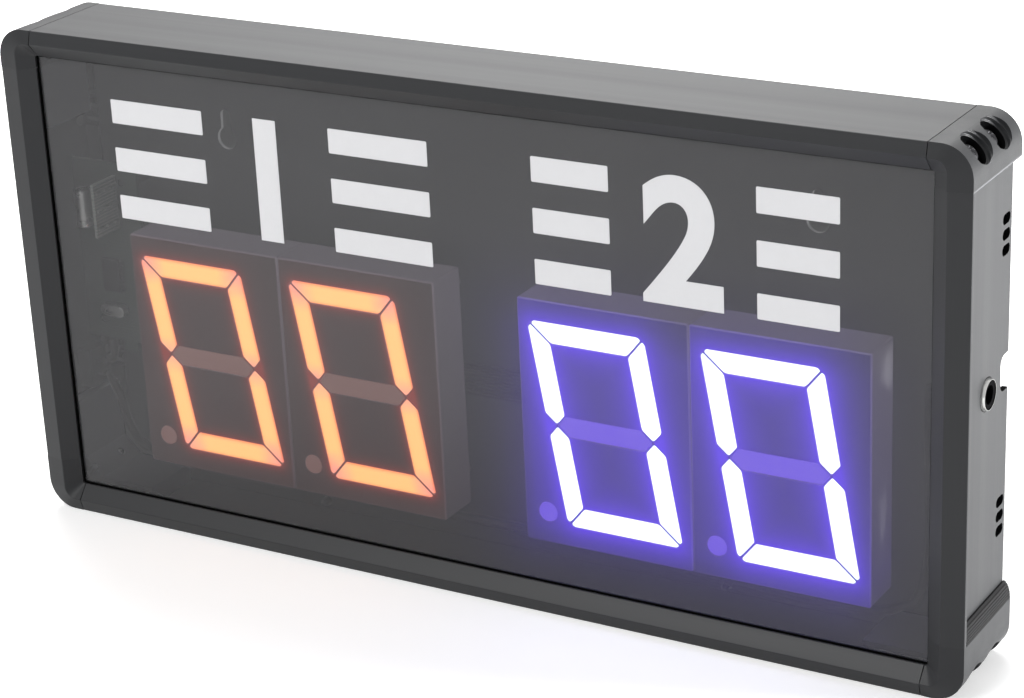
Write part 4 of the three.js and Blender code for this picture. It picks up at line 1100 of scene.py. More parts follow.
def collar_inset(rise):
    """How far the collar stands in from the side at a height above its foot: a quarter of an ellipse."""
    return SIDE_RECESS * (1 - math.sqrt(max(0, 1 - (rise / COLLAR_HEIGHT) ** 2)))


def collar(side_span):
    """The ribbed collar that laps the side rail and curves in to it."""
    end = HEIGHT - side_span
    inner = HALF_WIDTH - SIDE_RECESS + GAP / 2
    pitch = COLLAR_HEIGHT / COLLAR_RIBS
    outline = [Vector((inner, end + OVERRUN)), Vector((HALF_WIDTH - COLLAR_GROOVE, end + OVERRUN))]
    for i in range(COLLAR_RIBS):
        for share, groove in ((0, COLLAR_GROOVE), (0.2, 0), (0.8, 0)):
            rise = (i + share) * pitch
            outline.append(Vector((max(inner, HALF_WIDTH - collar_inset(rise) - groove), end - rise)))
    outline.append(Vector((inner, end - COLLAR_HEIGHT + pitch / 5)))
    return prism("collar", outline, "y", at(RIM_DEPTH + GAP), HIGH.y)


def pocket_tool(name, y):
    """A stepped pocket on the 45 degree line, with eased steps."""
    outside = CORNER_RADIUS + OVERRUN
    bore = SCREW_RADIUS + GAP
    corners = [(0, 0), (bore, 0), (bore, POCKET_FLOOR)]
    floor = POCKET_FLOOR
    for i in range(POCKET_STEPS, 0, -1):
        top = CORNER_RADIUS - i * POCKET_STEP_DEPTH
        corners += [(POCKET_RADIUS - i * POCKET_STEP, floor), (POCKET_RADIUS - i * POCKET_STEP, top)]
        floor = top
    corners += [(POCKET_RADIUS, floor), (POCKET_RADIUS, outside), (0, outside)]
    profile = [Vector(p) for p in corners]
    rounded = [profile[0], *eased(profile, POCKET_EASE)[EASE_STEPS + 1:-EASE_STEPS - 1], profile[-1]]
    tool = turned(name, [(p.x, p.y) for p in rounded], FINE_SIDES)
    centre, outward = corner_axis("top", "right")
    return placed(tool, pointing(Vector((centre.x, y, centre.z)), outward))


def corner_piece(level, side, settings):
    """One corner piece, with its pockets and, at the bottom, its collar."""
    name = f"corner_{level}_{side}_moulding"
    side_span = CORNER_SPAN if level == "top" else FOOT_SPAN
    shell = rounded_edges(corner_loft(name, side_span, settings), settings.edge_radius, 2, 60)
    if level == "bottom":
        shell = combined(shell, [collar(side_span)], "UNION")
    rows = [middle_of(f"corner_screw_{level}_{side}_{row}").y for row in ("front", "back")]
    shell = combined(shell, [pocket_tool(f"pocket_{i}", y) for i, y in enumerate(rows)], "DIFFERENCE")
    mirror = Matrix.Diagonal((1 if side == "right" else -1, 1, 1 if level == "top" else -1, 1))
    if level == "bottom":
        mirror = Matrix.Translation((0, 0, HEIGHT)) @ mirror
    placed(shell, mirror)
    centre, outward = corner_axis(level, side)
    for face in shell.data.polygons:
        if level == "bottom" and face.center.z > FOOT_SPAN + SEAM:
            face.material_index = 1
        # The deep bore of each pocket takes the third material: painted shade
        elif any(in_bore(face.center - Vector((centre.x, y, centre.z)), outward) for y in rows):
            face.material_index = 2
    return shade(shell, CUT_ANGLE)


def in_bore(place, outward):
    """Whether a place, counted from the pocket's foot, lies in the deep part of the pocket."""
    height = place.dot(outward)
    across = (place - outward * height).length
    step_top = CORNER_RADIUS - POCKET_STEPS * POCKET_STEP_DEPTH
    return across < POCKET_RADIUS - POCKET_STEPS * POCKET_STEP + SEAM and height < step_top - SEAM


# Screws


def cross_recess(width, length, depth, top):
    """The four-winged recess of a cross head, tapering down."""
    wings = []
    for turn in (0, 90):
        outline = [Vector(p) for p in (
            (-length / 2, top + OVERRUN), (length / 2, top + OVERRUN), (length / 2, top),
            (length / 6, top - depth), (-length / 6, top - depth), (-length / 2, top))]
        wing = prism(f"wing_{turn}", outline, "y", -width / 2, width / 2)
        wings.append(placed(wing, Matrix.Rotation(math.radians(turn), 4, "Z")))
    return wings


def thread(radius, low, high):
    """The zigzag of a screw thread, from its tip up."""
    turns = int((high - low) / THREAD_PITCH)
    points = []
    for i in range(turns):
        height = low + i * THREAD_PITCH
        points += [(radius - THREAD_DEPTH, height), (radius, height + THREAD_PITCH / 2)]
    return points


def machine_screw(name, head):
    """A screw with its tip down, a threaded shank and a round or sunk head with a cross recess."""
    length = {"round": SCREW_LENGTH, "sunk": COVER_SCREW_LENGTH - COVER_SCREW_HEAD_HEIGHT}[head]
    shank = [(0, -length), (SCREW_RADIUS - THREAD_DEPTH, -length + SCREW_RADIUS / 2)]
    shank += thread(SCREW_RADIUS, -length + SCREW_RADIUS / 2 + THREAD_PITCH / 2, -THREAD_PITCH)
    if head == "round":
        crown = arc((0, 0), 1, 0, 90, 8)
        rise = SCREW_HEAD_HEIGHT * SCREW_DOME_SHARE
        dome = [(SCREW_HEAD_RADIUS * p.x, SCREW_HEAD_HEIGHT - rise + rise * p.y) for p in crown[:-1]]
        top = SCREW_HEAD_HEIGHT
        profile = shank + [(SCREW_RADIUS, 0), (SCREW_HEAD_RADIUS, 0), *dome, (0, top)]
    else:
        top = COVER_SCREW_HEAD_HEIGHT
        profile = shank + [(SCREW_RADIUS, 0), (COVER_SCREW_HEAD_RADIUS, top - COVER_SCREW_EASE),
                           (COVER_SCREW_HEAD_RADIUS - COVER_SCREW_EASE, top), (0, top)]
    screw = turned(name, profile, ROUND_SIDES)
    screw = combined(screw, cross_recess(RECESS_WIDTH, RECESS_LENGTH, RECESS_DEPTH, top), "DIFFERENCE")
    return shade(screw, TURNED_ANGLE)


# Panel labels


def numeral(name, text, centre):
    """A heavy upright numeral of film, as high as the stripes reach."""
    curve = bpy.data.curves.new(name, "FONT")
    curve.body = text
    curve.offset = NUMERAL_WEIGHT
    # Any thickness will do here, because it is scaled to the film's below
    curve.extrude = 0.5
    glyph = plain(linked(name, curve))
    corners = [v.co for v in glyph.data.vertices]
    low = Vector([min(c[i] for c in corners) for i in range(3)])
    high = Vector([max(c[i] for c in corners) for i in range(3)])
    scale = (LABEL_HIGH - LABEL_LOW) / (high.y - low.y)
    placed(glyph, Matrix.Translation(-(low + high) / 2))
    placed(glyph, Matrix.Diagonal((scale, scale, FILM_THICKNESS / (high.z - low.z), 1)))
    placed(glyph, Matrix.Rotation(math.radians(90), 4, "X"))
    return placed(glyph, Matrix.Translation(centre))


def label(pair):
    """A numeral with stripes on both sides, cut from film, on the panel's front."""
    start, end = LABEL_SPANS[pair]
    y = PANEL_LOW.y - FILM_THICKNESS / 2
    centre = (start + end) / 2
    middle = Vector((centre, y, (LABEL_LOW + LABEL_HIGH) / 2))
    pieces = [numeral(f"numeral_{pair}", LABEL_NUMERALS[pair], middle)]
    pitch = (LABEL_HIGH - LABEL_LOW - STRIPE_WIDTH) / (STRIPES - 1)
    for low, high in ((start, centre - STRIPE_START), (centre + STRIPE_START, end)):
        for i in range(STRIPES):
            z = LABEL_LOW + i * pitch
            outline = [Vector((low, z)), Vector((high, z)), Vector((high, z + STRIPE_WIDTH)),
                       Vector((low, z + STRIPE_WIDTH))]
            pieces.append(prism(f"stripe_{pair}_{i}", eased(outline, STRIPE_CORNER_RADIUS), "y",
                                PANEL_LOW.y - FILM_THICKNESS, PANEL_LOW.y))
    return joined(f"label_film_{pair}", pieces)


# Digits


def digit_outlines(grow):
    """The seven bars and the point as upright outlines round the digit's middle, grown by a width."""
    # Half the width and height, a bar's thickness, the slant gap along an axis, and the outer corners' cut
    hw = DIGIT_WIDTH / 2 + grow
    hh = DIGIT_HEIGHT / 2 + grow
    t = SEGMENT_WIDTH + 2 * grow
    s = (SEGMENT_GAP - 2 * grow) / math.sqrt(2)
    c = SEGMENT_CUT
    top = [(-hw + c, hh), (-hw + (c + s) / 2, hh - (c - s) / 2), (-hw + t + s, hh - t),
           (hw - t - s, hh - t), (hw - (c + s) / 2, hh - (c - s) / 2), (hw - c, hh)]
    side = [(-hw, hh - c), (-hw, t / 2 + s), (-hw + t / 2, s), (-hw + t, t / 2 + s),
            (-hw + t, hh - t - s), (-hw + (c - s) / 2, hh - (c + s) / 2)]
    middle = [(-hw + t / 2 + s, 0), (-hw + t + s, -t / 2), (hw - t - s, -t / 2),
              (hw - t / 2 - s, 0), (hw - t - s, t / 2), (-hw + t + s, t / 2)]
    outlines = []
    for level in (1, -1):
        outlines.append([(x, level * z) for x, z in top])
        for across in (1, -1):
            outlines.append([(across * x, level * z) for x, z in side])
    outlines.append(middle)
    bars = [eased([Vector(p) for p in outline], BAR_CORNER_RADIUS) for outline in outlines]
    # The lean is taken out of the point here, because it isn't leaned
    ring = arc(POINT_PLACE, POINT_RADIUS + grow, 0, 360, ROUND_SIDES)[:-1]
    return [*bars, [Vector((p.x - p.y * LEAN, p.y)) for p in ring]]


def bar_lines():
    """The middle and the way of each bar and of the point, in the order of their outlines."""
    lines = []
    for level in (1, -1):
        lines.append((Vector((0, level * BAR_LINE_Z)), "x", DIGIT_WIDTH / 2))
        for across in (-1, 1):
            lines.append((Vector((across * BAR_LINE_X, level * BAR_LINE_Z / 2)), "z", DIGIT_HEIGHT / 4))
    lines.append((Vector((0, 0)), "x", DIGIT_WIDTH / 2))
    lines.append((Vector((POINT_PLACE.x - POINT_PLACE.y * LEAN, POINT_PLACE.y)), "x", POINT_RADIUS))
    return lines


def add_bars(shape, centre, levels):
    """Adds the bars and the point, lofted through (depth, grow) levels, leaned, with UVs along each bar."""
    layer = shape.loops.layers.uv.new("bar")
    sets = [digit_outlines(grow) for y, grow in levels]
    for number, (line, way, half) in enumerate(bar_lines()):
        rings = []
        for (y, grow), outlines in zip(levels, sets):
            leaned = [(centre.x + p.x + p.y * LEAN, y, centre.z + p.y) for p in outlines[number]]
            rings.append([(shape.verts.new(place), p) for place, p in zip(leaned, outlines[number])])
        faces = [rings[-1], rings[0][::-1]]
        for first, second in zip(rings, rings[1:]):
            for i in range(len(first)):
                j = (i + 1) % len(first)
                faces.append([first[i], first[j], second[j], second[i]])
        for corners in faces:
            face = shape.faces.new([corner for corner, p in corners])
            face.material_index = 0 if number < LIT_BARS else 1
            for loop, (corner, p) in zip(face.loops, corners):
                along, across = (p - line) if way == "x" else (p - line).yx
                loop[layer].uv = (along / half, across / (SEGMENT_WIDTH / 2))


def housing(pair, digit):
    """A module's black box: a face with windows for the bars, and four walls, open at the back."""
    name = f"digit_housing_{pair}_{digit}"
    low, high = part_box(name)
    box = rounded_edges(box_tool(name + "_box", low, high), MODULE_EDGE_RADIUS, 1)
    wall = Vector((MODULE_WALL, 0, MODULE_WALL))
    hollow = box_tool("hollow", low + wall + Vector((0, MODULE_FACE, 0)),
                      high - wall + Vector((0, OVERRUN, 0)))
    windows = bmesh.new()
    add_bars(windows, (low + high) / 2, [
        (low.y - OVERRUN, WINDOW_GAP + WINDOW_EASE),
        (low.y, WINDOW_GAP + WINDOW_EASE),
        (low.y + WINDOW_EASE, WINDOW_GAP),
        (low.y + MODULE_FACE + OVERRUN, WINDOW_GAP),
    ])
    for face in windows.faces:
        face.material_index = 0
    return shade(combined(box, [hollow, piece_from("windows", windows)], "DIFFERENCE"), CUT_ANGLE)


def diffuser(pair, digit, lit, unlit):
    """The translucent moulding: seven bars and a point on a plate behind the face."""
    node = f"digit_diffuser_{pair}_{digit}"
    low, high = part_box(node)
    shape = bmesh.new()
    add_bars(shape, middle_of(f"digit_housing_{pair}_{digit}"), [
        (low.y + BAR_DEPTH, 0),
        (low.y + BAR_EASE, 0),
        (low.y + BAR_EASE * 0.3, -BAR_EASE * 0.3),
        (low.y, -BAR_EASE),
    ])
    plate = box_tool("plate", Vector((low.x, high.y - PLATE_THICKNESS, low.z)), high)
    for face in plate.data.polygons:
        face.material_index = 1
    bars = piece_from("bars", shape)
    piece = shade(paint(joined(node + "_moulding", [bars, plate]), lit, unlit), BAR_ANGLE)
    return finished(piece, None, [node])


# Property groups


class ScoreboardCase(bpy.types.PropertyGroup):
    """Sizes and colours of the case."""
    edge_radius: bpy.props.FloatProperty(
        name="Edge Radius", description="Rounding of the frame's edges", default=0.35 * mm,
        unit="LENGTH", subtype="DISTANCE")
    cover_edge_radius: bpy.props.FloatProperty(
        name="Cover Edge Radius", description="Rounding of the back cover's edges", default=0.25 * mm,
        unit="LENGTH", subtype="DISTANCE")
    frame_colour: bpy.props.FloatVectorProperty(
        name="Frame Colour", description="Anodised colour of the rails", default=linear("#242527"),
        size=4, subtype="COLOR")
    corner_colour: bpy.props.FloatVectorProperty(
        name="Corner Colour", description="Colour of the moulded corners", default=linear("#212224"),
        size=4, subtype="COLOR")
    collar_colour: bpy.props.FloatVectorProperty(
        name="Collar Colour", description="Colour of the ribbed collars", default=linear("#1c1c1d"),
        size=4, subtype="COLOR")
    cover_colour: bpy.props.FloatVectorProperty(
        name="Cover Colour", description="Colour of the back cover", default=linear("#3a3b3d"),
        size=4, subtype="COLOR")


class ScoreboardDisplay(bpy.types.PropertyGroup):
    """Colours of the panel and the digits."""
    panel_colour: bpy.props.FloatVectorProperty(
        name="Panel Colour", description="Smoke colour of the front panel", default=linear("#4a4a4c"),
        size=4, subtype="COLOR")
    panel_veil: bpy.props.FloatProperty(
        name="Panel Veil", description="Share of what lies behind that the panel hides", default=0.6,
        min=0, max=1, subtype="FACTOR")
    film_colour: bpy.props.FloatVectorProperty(
        name="Film Colour", description="Colour of the cut film", default=linear("#d2d2d4"),
        size=4, subtype="COLOR")
    housing_colour: bpy.props.FloatVectorProperty(
        name="Housing Colour", description="Colour of the digit housings", default=linear("#3c3c3e"),
        size=4, subtype="COLOR")
    warm_core: bpy.props.FloatVectorProperty(
        name="Warm Core", description="Middle of the left pair's bars", default=linear("#ffb871"),
        size=4, subtype="COLOR")
    warm_tip: bpy.props.FloatVectorProperty(
        name="Warm Tip", description="Tips of the left pair's bars", default=linear("#f09380"),
        size=4, subtype="COLOR")
    cool_core: bpy.props.FloatVectorProperty(
        name="Cool Core", description="Middle of the right pair's bars", default=linear("#ffffff"),
        size=4, subtype="COLOR")
    cool_tip: bpy.props.FloatVectorProperty(
        name="Cool Tip", description="Tips of the right pair's bars", default=linear("#e6ffff"),
        size=4, subtype="COLOR")
    cool_halo: bpy.props.FloatVectorProperty(
        name="Cool Halo", description="Light that the right pair spills", default=linear("#5e2eff"),
        size=4, subtype="COLOR")
    warm_halo: bpy.props.FloatVectorProperty(
        name="Warm Halo", description="Light that the left pair spills", default=linear("#c03020"),
        size=4, subtype="COLOR")


class ScoreboardStage(bpy.types.PropertyGroup):
    """The floor and the lamps."""
    floor_colour: bpy.props.FloatVectorProperty(
        name="Floor Colour", description="Colour of the floor", default=linear("#f4f4f4"),
        size=4, subtype="COLOR")
    ambient: bpy.props.FloatProperty(
        name="Ambient", description="Even light from all round", default=0.45, min=0)
    top_power: bpy.props.FloatProperty(
        name="Top Lamp", description="Power of the softbox above", default=26, min=0, unit="POWER")
    side_power: bpy.props.FloatProperty(
        name="Side Lamp", description="Power of the softbox at the right", default=57, min=0, unit="POWER")
    front_power: bpy.props.FloatProperty(
        name="Front Lamp", description="Power of the softbox at the front left", default=24, min=0,
        unit="POWER")


# Operators


class SCOREBOARD_OT_stage(bpy.types.Operator):
    """Makes the floor, the world, the lamps and the camera."""
    bl_idname = "scoreboard.stage"
    bl_label = "Stage"

    def execute(self, context):
        settings = context.scene.scoreboard_stage
        self.add_floor(settings)
        self.set_world(context, settings)
        self.add_lamp("top_softbox", *TOP_LAMP, settings.top_power)
        self.add_lamp("side_softbox", *SIDE_LAMP, settings.side_power)
        self.add_lamp("front_softbox", *FRONT_LAMP, settings.front_power)
        self.add_camera(context)
        context.scene.view_settings.view_transform = "Standard"
        return {"FINISHED"}

    def add_floor(self, settings):
        """A pale floor that keeps the shadow, and looks as white as the room."""
        outline = [Vector((x * FLOOR_HALF, y * FLOOR_HALF)) for x, y in ((-1, -1), (1, -1), (1, 1), (-1, 1))]
        floor = prism("floor", outline, "z", -FLOOR_THICKNESS, -FLOOR_DROP)
        material, tree, shader, place = new_material("pale_matt_floor")
        shader.inputs["Roughness"].default_value = 0.9
        shader.inputs["Specular IOR Level"].default_value = 0.0
        path = add_node(tree, "ShaderNodeLightPath")
        seen = calculated(tree, "MAXIMUM", path.outputs["Is Camera Ray"], calculated(
            tree, "MAXIMUM", path.outputs["Is Glossy Ray"], path.outputs["Is Transmission Ray"]))
        shown = self.not_past_panel(tree, path)
        tree.links.new(mixed(tree, shown, [0, 0, 0, 1], settings.floor_colour), shader.inputs["Base Color"])
        near = calculated(tree, "MULTIPLY", seen, FLOOR_GLOW)
        # Far from the scoreboard, where the lamps don't reach, the camera sees the floor as white as the room
        away = add_node(tree, "ShaderNodeVectorMath", {0: place}, operation="LENGTH").outputs["Value"]
        far = calculated(tree, "MULTIPLY", ranged(tree, away, *FAR_FLOOR, 0, FAR_FLOOR_GLOW),
                         path.outputs["Is Camera Ray"])
        strength = calculated(tree, "MULTIPLY", calculated(tree, "ADD", near, far), shown)
        glow = add_node(tree, "ShaderNodeEmission", {"Strength": strength})
        both = add_node(tree, "ShaderNodeAddShader", {0: shader.outputs[0], 1: glow.outputs[0]})
        tree.links.new(both.outputs[0], tree.nodes["Material Output"].inputs["Surface"])
        paint(floor, material)

    def set_world(self, context, settings):
        """A plain studio: even light, seen as white, and mirrored a little darker."""
        world = bpy.data.worlds.new("plain_studio")
        context.scene.world = world
        world.use_nodes = True
        tree = world.node_tree
        path = add_node(tree, "ShaderNodeLightPath")
        mirrored = calculated(
            tree, "MAXIMUM", path.outputs["Is Glossy Ray"], path.outputs["Is Transmission Ray"])
        seen = calculated(tree, "MAXIMUM", path.outputs["Is Camera Ray"], calculated(
            tree, "MULTIPLY", mirrored, MIRRORED_WORLD))
        background = tree.nodes["Background"]
        background.inputs["Color"].default_value = (1, 1, 1, 1)
        strength = ranged(tree, seen, 0, 1, settings.ambient, 1.0)
        strength = calculated(tree, "MULTIPLY", strength, self.not_past_panel(tree, path))
        tree.links.new(strength, background.inputs["Strength"])

    def not_past_panel(self, tree, path):
        """Painted shade: nearly nought for what the camera sees of the room through the panel and the case's
        openings.
        """
        past = calculated(tree, "GREATER_THAN", path.outputs["Transparent Depth"], 0.5)
        past = calculated(tree, "MULTIPLY", past, path.outputs["Is Camera Ray"])
        return ranged(tree, past, 0, 1, 1.0, PAST_PANEL)

    def add_lamp(self, name, place, size, power):
        """A round softbox that points at the middle of the scoreboard."""
        lamp = bpy.data.lights.new(name, "AREA")
        lamp.shape = "DISK"
        lamp.size = size
        lamp.energy = power
        linked(name, lamp).matrix_world = pointing(place, place - Vector((0, 0, HEIGHT / 2)))

    def add_camera(self, context):
        """The camera, at the photograph's place and angle."""
        lens = bpy.data.cameras.new("camera")
        lens.sensor_width = SENSOR
        lens.sensor_fit = "HORIZONTAL"
        lens.lens = LENS
        lens.shift_x, lens.shift_y = CAMERA_SHIFT
        camera = linked("camera", lens)
        back = CAMERA_RIGHT.cross(CAMERA_UP).normalized()
        up = back.cross(CAMERA_RIGHT).normalized()
        turn = Matrix((CAMERA_RIGHT.normalized(), up, back)).transposed().to_4x4()
        camera.matrix_world = Matrix.Translation(CAMERA_PLACE) @ turn
        context.scene.camera = camera


class SCOREBOARD_OT_rails(bpy.types.Operator):
    """Extrudes the four rails of the frame, with their vents, notch and holes."""
    bl_idname = "scoreboard.rails"
    bl_label = "Rails"

    def execute(self, context):
        settings = context.scene.scoreboard_case
        upright = anodised_aluminium("anodised_aluminium_upright", settings.frame_colour, "z")
        level = anodised_aluminium("anodised_aluminium_level", settings.frame_colour, "x")
        # Painted shade for the walls of the rail's vents and notch
        painted_shade = matt_black_and_shade("bare_cut_aluminium", linear("#101011"))
        for side in (-1, 1):
            rail, node = side_rail(side, settings, upright)
            paint_opening_shade(rail, side)
            finished(paint(shade(rail, CUT_ANGLE), upright, painted_shade), None, [node])
        for side in (-1, 1):
            rail, node = cap_rail(side, settings, level)
            finished(shade(rail, CUT_ANGLE), level, [node])
        return {"FINISHED"}


def paint_opening_shade(rail, side):
    """Gives the walls of a side rail's vents and notch the second material: painted shade, so that they read
    as dark.
    """
    back = HIGH.y - NOTCH_DEPTH - GAP
    for face in rail.data.polygons:
        inset = HALF_WIDTH - side * face.center.x
        y, z = face.center.yz
        near_vent = any(abs(z - middle) < VENT_PITCH * VENT_COUNT / 2 for middle in VENT_MIDDLES)
        near_notch = side > 0 and abs(z - NOTCH_HEIGHT) < NOTCH_WIDTH / 2 + GAP and y < HIGH.y - GAP
        if inset > SIDE_RECESS + RAIL_EDGE and y > back and (near_vent or near_notch):
            face.material_index = 1


class SCOREBOARD_OT_corners(bpy.types.Operator):
    """Moulds the four corner pieces, with their collars and screw pockets."""
    bl_idname = "scoreboard.corners"
    bl_label = "Corner Pieces"

    def execute(self, context):
        settings = context.scene.scoreboard_case
        plastic = moulded_plastic("textured_abs_corner", settings.corner_colour)
        ribbed = dull_dark_finish("ribbed_rubber_collar", settings.collar_colour)
        # Painted shade for the deep bores of the pockets
        painted_shade = matt_black_and_shade("unpolished_pocket_wall", linear("#0c0c0d"))
        # A painted highlight along the lower edge of the top corners' sides
        highlighted = painted_edge_highlight(moulded_plastic("textured_abs_corner_rubbed", settings.corner_colour),
                             HEIGHT - CORNER_SPAN, HIGHLIGHT_WIDTH, linear("#6c6d70"))
        zinc = plated_metal("zinc_plated_steel_bracket", linear("#b9bcc0"), 0.35)
        for level, side in CORNERS:
            piece = corner_piece(level, side, settings)
            shell = highlighted if level == "top" else plastic
            finished(paint(piece, shell, ribbed, painted_shade), None, [f"corner_{level}_{side}"])
            dress(f"corner_bracket_{level}_{side}", zinc)
        return {"FINISHED"}


class SCOREBOARD_OT_screws(bpy.types.Operator):
    """Sets the eight corner screws and the six cover screws."""
    bl_idname = "scoreboard.screws"
    bl_label = "Screws"

    def execute(self, context):
        black = plated_metal("black_oxide_steel_screw", linear("#4a4a4c"), 0.4)
        places = []
        nodes = []
        for level, side in CORNERS:
            centre, outward = corner_axis(level, side)
            turn = outward.to_track_quat("Z", "Y").to_euler()
            for row in ("front", "back"):
                node = f"corner_screw_{level}_{side}_{row}"
                place = centre + outward * (POCKET_FLOOR + GAP)
                place.y = middle_of(node).y
                places.append((place, turn))
                nodes.append(node)
        screws = copies_on("corner_screws", machine_screw("corner_screw", "round"), places, black)
        finished(shade(screws, TURNED_ANGLE), black, nodes)
        turn = AXES["y"].to_track_quat("Z", "X").to_euler()
        seat = HIGH.y - COVER_SCREW_HEAD_HEIGHT
        places = [(Vector((middle_of(n).x, seat, middle_of(n).z)), turn) for n in COVER_SCREWS]
        screws = copies_on("cover_screws", machine_screw("cover_screw", "sunk"), places, black)
        finished(shade(screws, TURNED_ANGLE), black, COVER_SCREWS)
        return {"FINISHED"}


class SCOREBOARD_OT_panel(bpy.types.Operator):
    """Finishes the smoked panel and its gasket, and lays the cut film on it."""
    bl_idname = "scoreboard.panel"
    bl_label = "Panel"

    def execute(self, context):
        settings = context.scene.scoreboard_display
        tens = middle_of("digit_housing_right_tens")
        units = middle_of("digit_housing_right_units")
        centre = (tens + units) / 2
        half = ((units.x - tens.x) / 2 + PANEL_GLOW_HALF_DIGIT[0], PANEL_GLOW_HALF_DIGIT[1])
        acrylic = smoked_acrylic("smoked_cast_acrylic", settings.panel_colour, settings.panel_veil,
                                 settings.cool_halo, (centre.x, centre.z), half)
        dress("front_panel", acrylic)
        # The foam is black; where it shows past the lip, its black is painted shade for the gap
        foam = matt_black_and_shade("black_foam_gasket", linear("#050505"))
        finished(self.gasket(), foam, ["panel_gasket"])
        vinyl = film("white_cut_vinyl", settings.film_colour)
        for pair in LABEL_SPANS:
            finished(label(pair), vinyl)
        return {"FINISHED"}

    def gasket(self):
        """The foam frame between the lip and the panel. It reaches a little past the lip's edge, where its
        black is painted shade for the gap.
        """
        low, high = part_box("panel_gasket")
        reach = Vector((SIDE_BEVEL_INSET + GASKET_SHADE_REACH, 0, CAP_BEVEL_INSET + GASKET_SHADE_REACH))
        opening = box_tool("opening", Vector((-HALF_WIDTH, low.y - OVERRUN, 0)) + reach,
                           Vector((HALF_WIDTH, high.y + OVERRUN, HEIGHT)) - reach)
        foam = combined(box_tool("panel_gasket_foam", low, high), [opening], "DIFFERENCE")
        return shade(rounded_edges(foam, GASKET_EDGE_RADIUS))


class SCOREBOARD_OT_digits(bpy.types.Operator):
    """Makes the four seven-segment modules with their glow."""
    bl_idname = "scoreboard.digits"
    bl_label = "Digits"

    def execute(self, context):
        settings = context.scene.scoreboard_display
        board = circuit_board("led_board_epoxy", linear("#22382c"), linear("#2f4c38"))
        halo = {"left": settings.warm_halo, "right": settings.cool_halo}
        lit = {
            "left": lit_diffuser("lit_epoxy_warm", settings.warm_core, settings.warm_tip,
                                 linear("#f07a50"), 2.5),
            "right": lit_diffuser("lit_epoxy_cool", settings.cool_core, settings.cool_tip,
                                  linear("#d8d8ff"), 3.8),
        }
        unlit = {
            "left": unlit_diffuser("unlit_epoxy_warm", linear("#a89694"), linear("#ff8a78"), 0.17),
            "right": unlit_diffuser("unlit_epoxy_cool", linear("#9c95a2"), linear("#6434ff"), 1.15),
        }
        for pair, digit in DIGITS:
            name = f"digit_housing_{pair}_{digit}"
            centre = middle_of(name)
            plastic = digit_housing_plastic(f"black_polycarbonate_{pair}_{digit}", settings.housing_colour,
                                            centre, halo[pair], NEAR_SPILL[pair], FAR_SPILL[pair])
            finished(housing(pair, digit), plastic, [name])
            diffuser(pair, digit, lit[pair], unlit[pair])
            dress(f"digit_led_board_{pair}_{digit}", board)
        for pair in ("left", "right"):
            dress(f"display_board_{pair}", board)
        return {"FINISHED"}


class SCOREBOARD_OT_controller(bpy.types.Operator):
    """Finishes the controller board and what it carries."""
    bl_idname = "scoreboard.controller"
    bl_label = "Controller"

    def execute(self, context):
        board = circuit_board("controller_board_epoxy", linear("#2c3a34"), linear("#3c4c42"))
        dress("controller_board", board)
        chip = moulded_plastic("black_epoxy_chip", linear("#1c1c1e"), 0.5)
        dress("microcontroller", chip)
        can = plated_metal("nickel_plated_can", linear("#c8c8c6"), 0.3)
        for node, radius in (("clock_crystal", CAN_EDGE_RADIUS),
                             ("smoothing_capacitor", CAPACITOR_EDGE_RADIUS)):
            finished(eased_copy(node, radius), can, [node])
        receiver = circuit_board("receiver_board_epoxy", linear("#8a928c"), linear("#a4aaa2"))
        dress("remote_receiver", receiver)
        return {"FINISHED"}


class SCOREBOARD_OT_socket(bpy.types.Operator):
    """Makes the power socket and its bright ring."""
    bl_idname = "scoreboard.socket"
    bl_label = "Power Socket"

    def execute(self, context):
        plastic = matt_black_and_shade("black_nylon_socket", linear("#0c0c0d"))
        nickel = plated_metal("bright_nickel_ring", linear("#cfcfcd"), 0.2)
        finished(self.turned_out("socket_body", self.body_profile()), plastic, ["power_socket"])
        finished(self.turned_out("socket_ring", self.ring_profile()), nickel, ["power_socket_ring"])
        return {"FINISHED"}

    def turned_out(self, name, profile):
        """Turns a profile whose heights count from the ring's face, and points it out of the side."""
        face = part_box("power_socket_ring")[1].x
        middle = middle_of("power_socket_ring")
        piece = turned(name, profile, FINE_SIDES)
        return shade(placed(piece, pointing(Vector((face, middle.y, middle.z)), AXES["x"])), TURNED_ANGLE)

    def proud(self):
        """How far the ring stands out of the wall."""
        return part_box("power_socket_ring")[1].x - (HALF_WIDTH - SIDE_RECESS)

    def body_profile(self):
        """The black insert: its face inside the ring, the bore and the pin in it, and its back."""
        return [
            (0, -SOCKET_PIN_RECESS),
            (SOCKET_PIN_RADIUS, -SOCKET_PIN_RECESS),
            (SOCKET_PIN_RADIUS, -SOCKET_BORE_DEPTH),
            (SOCKET_BORE_RADIUS, -SOCKET_BORE_DEPTH),
            (SOCKET_BORE_RADIUS, -GAP - SEAM),
            (SOCKET_BORE_RADIUS + SEAM, -GAP),
            (RING_FACE_RADIUS - RING_WALL, -GAP),
            (SOCKET_RADIUS - RING_WALL, -self.proud()),
            (SOCKET_RADIUS - RING_WALL, -SOCKET_LENGTH),
            (0, -SOCKET_LENGTH),
        ]

    def ring_profile(self):
        """The ring: a flange behind the wall, and a thin cone that stands out of it."""
        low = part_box("power_socket_ring")[0].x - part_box("power_socket_ring")[1].x
        flange = SIDE_INNER - SIDE_RECESS
        proud = self.proud()
        seat = -proud - flange - GAP
        return [
            (SOCKET_RADIUS, low),
            (FLANGE_RADIUS, low),
            (FLANGE_RADIUS, seat),
            (RING_RADIUS, seat),
            (RING_RADIUS, -proud),
            (RING_FACE_RADIUS + RING_WALL, 0),
            (RING_FACE_RADIUS, 0),
            (SOCKET_RADIUS, -proud),
            (SOCKET_RADIUS, low),
        ]


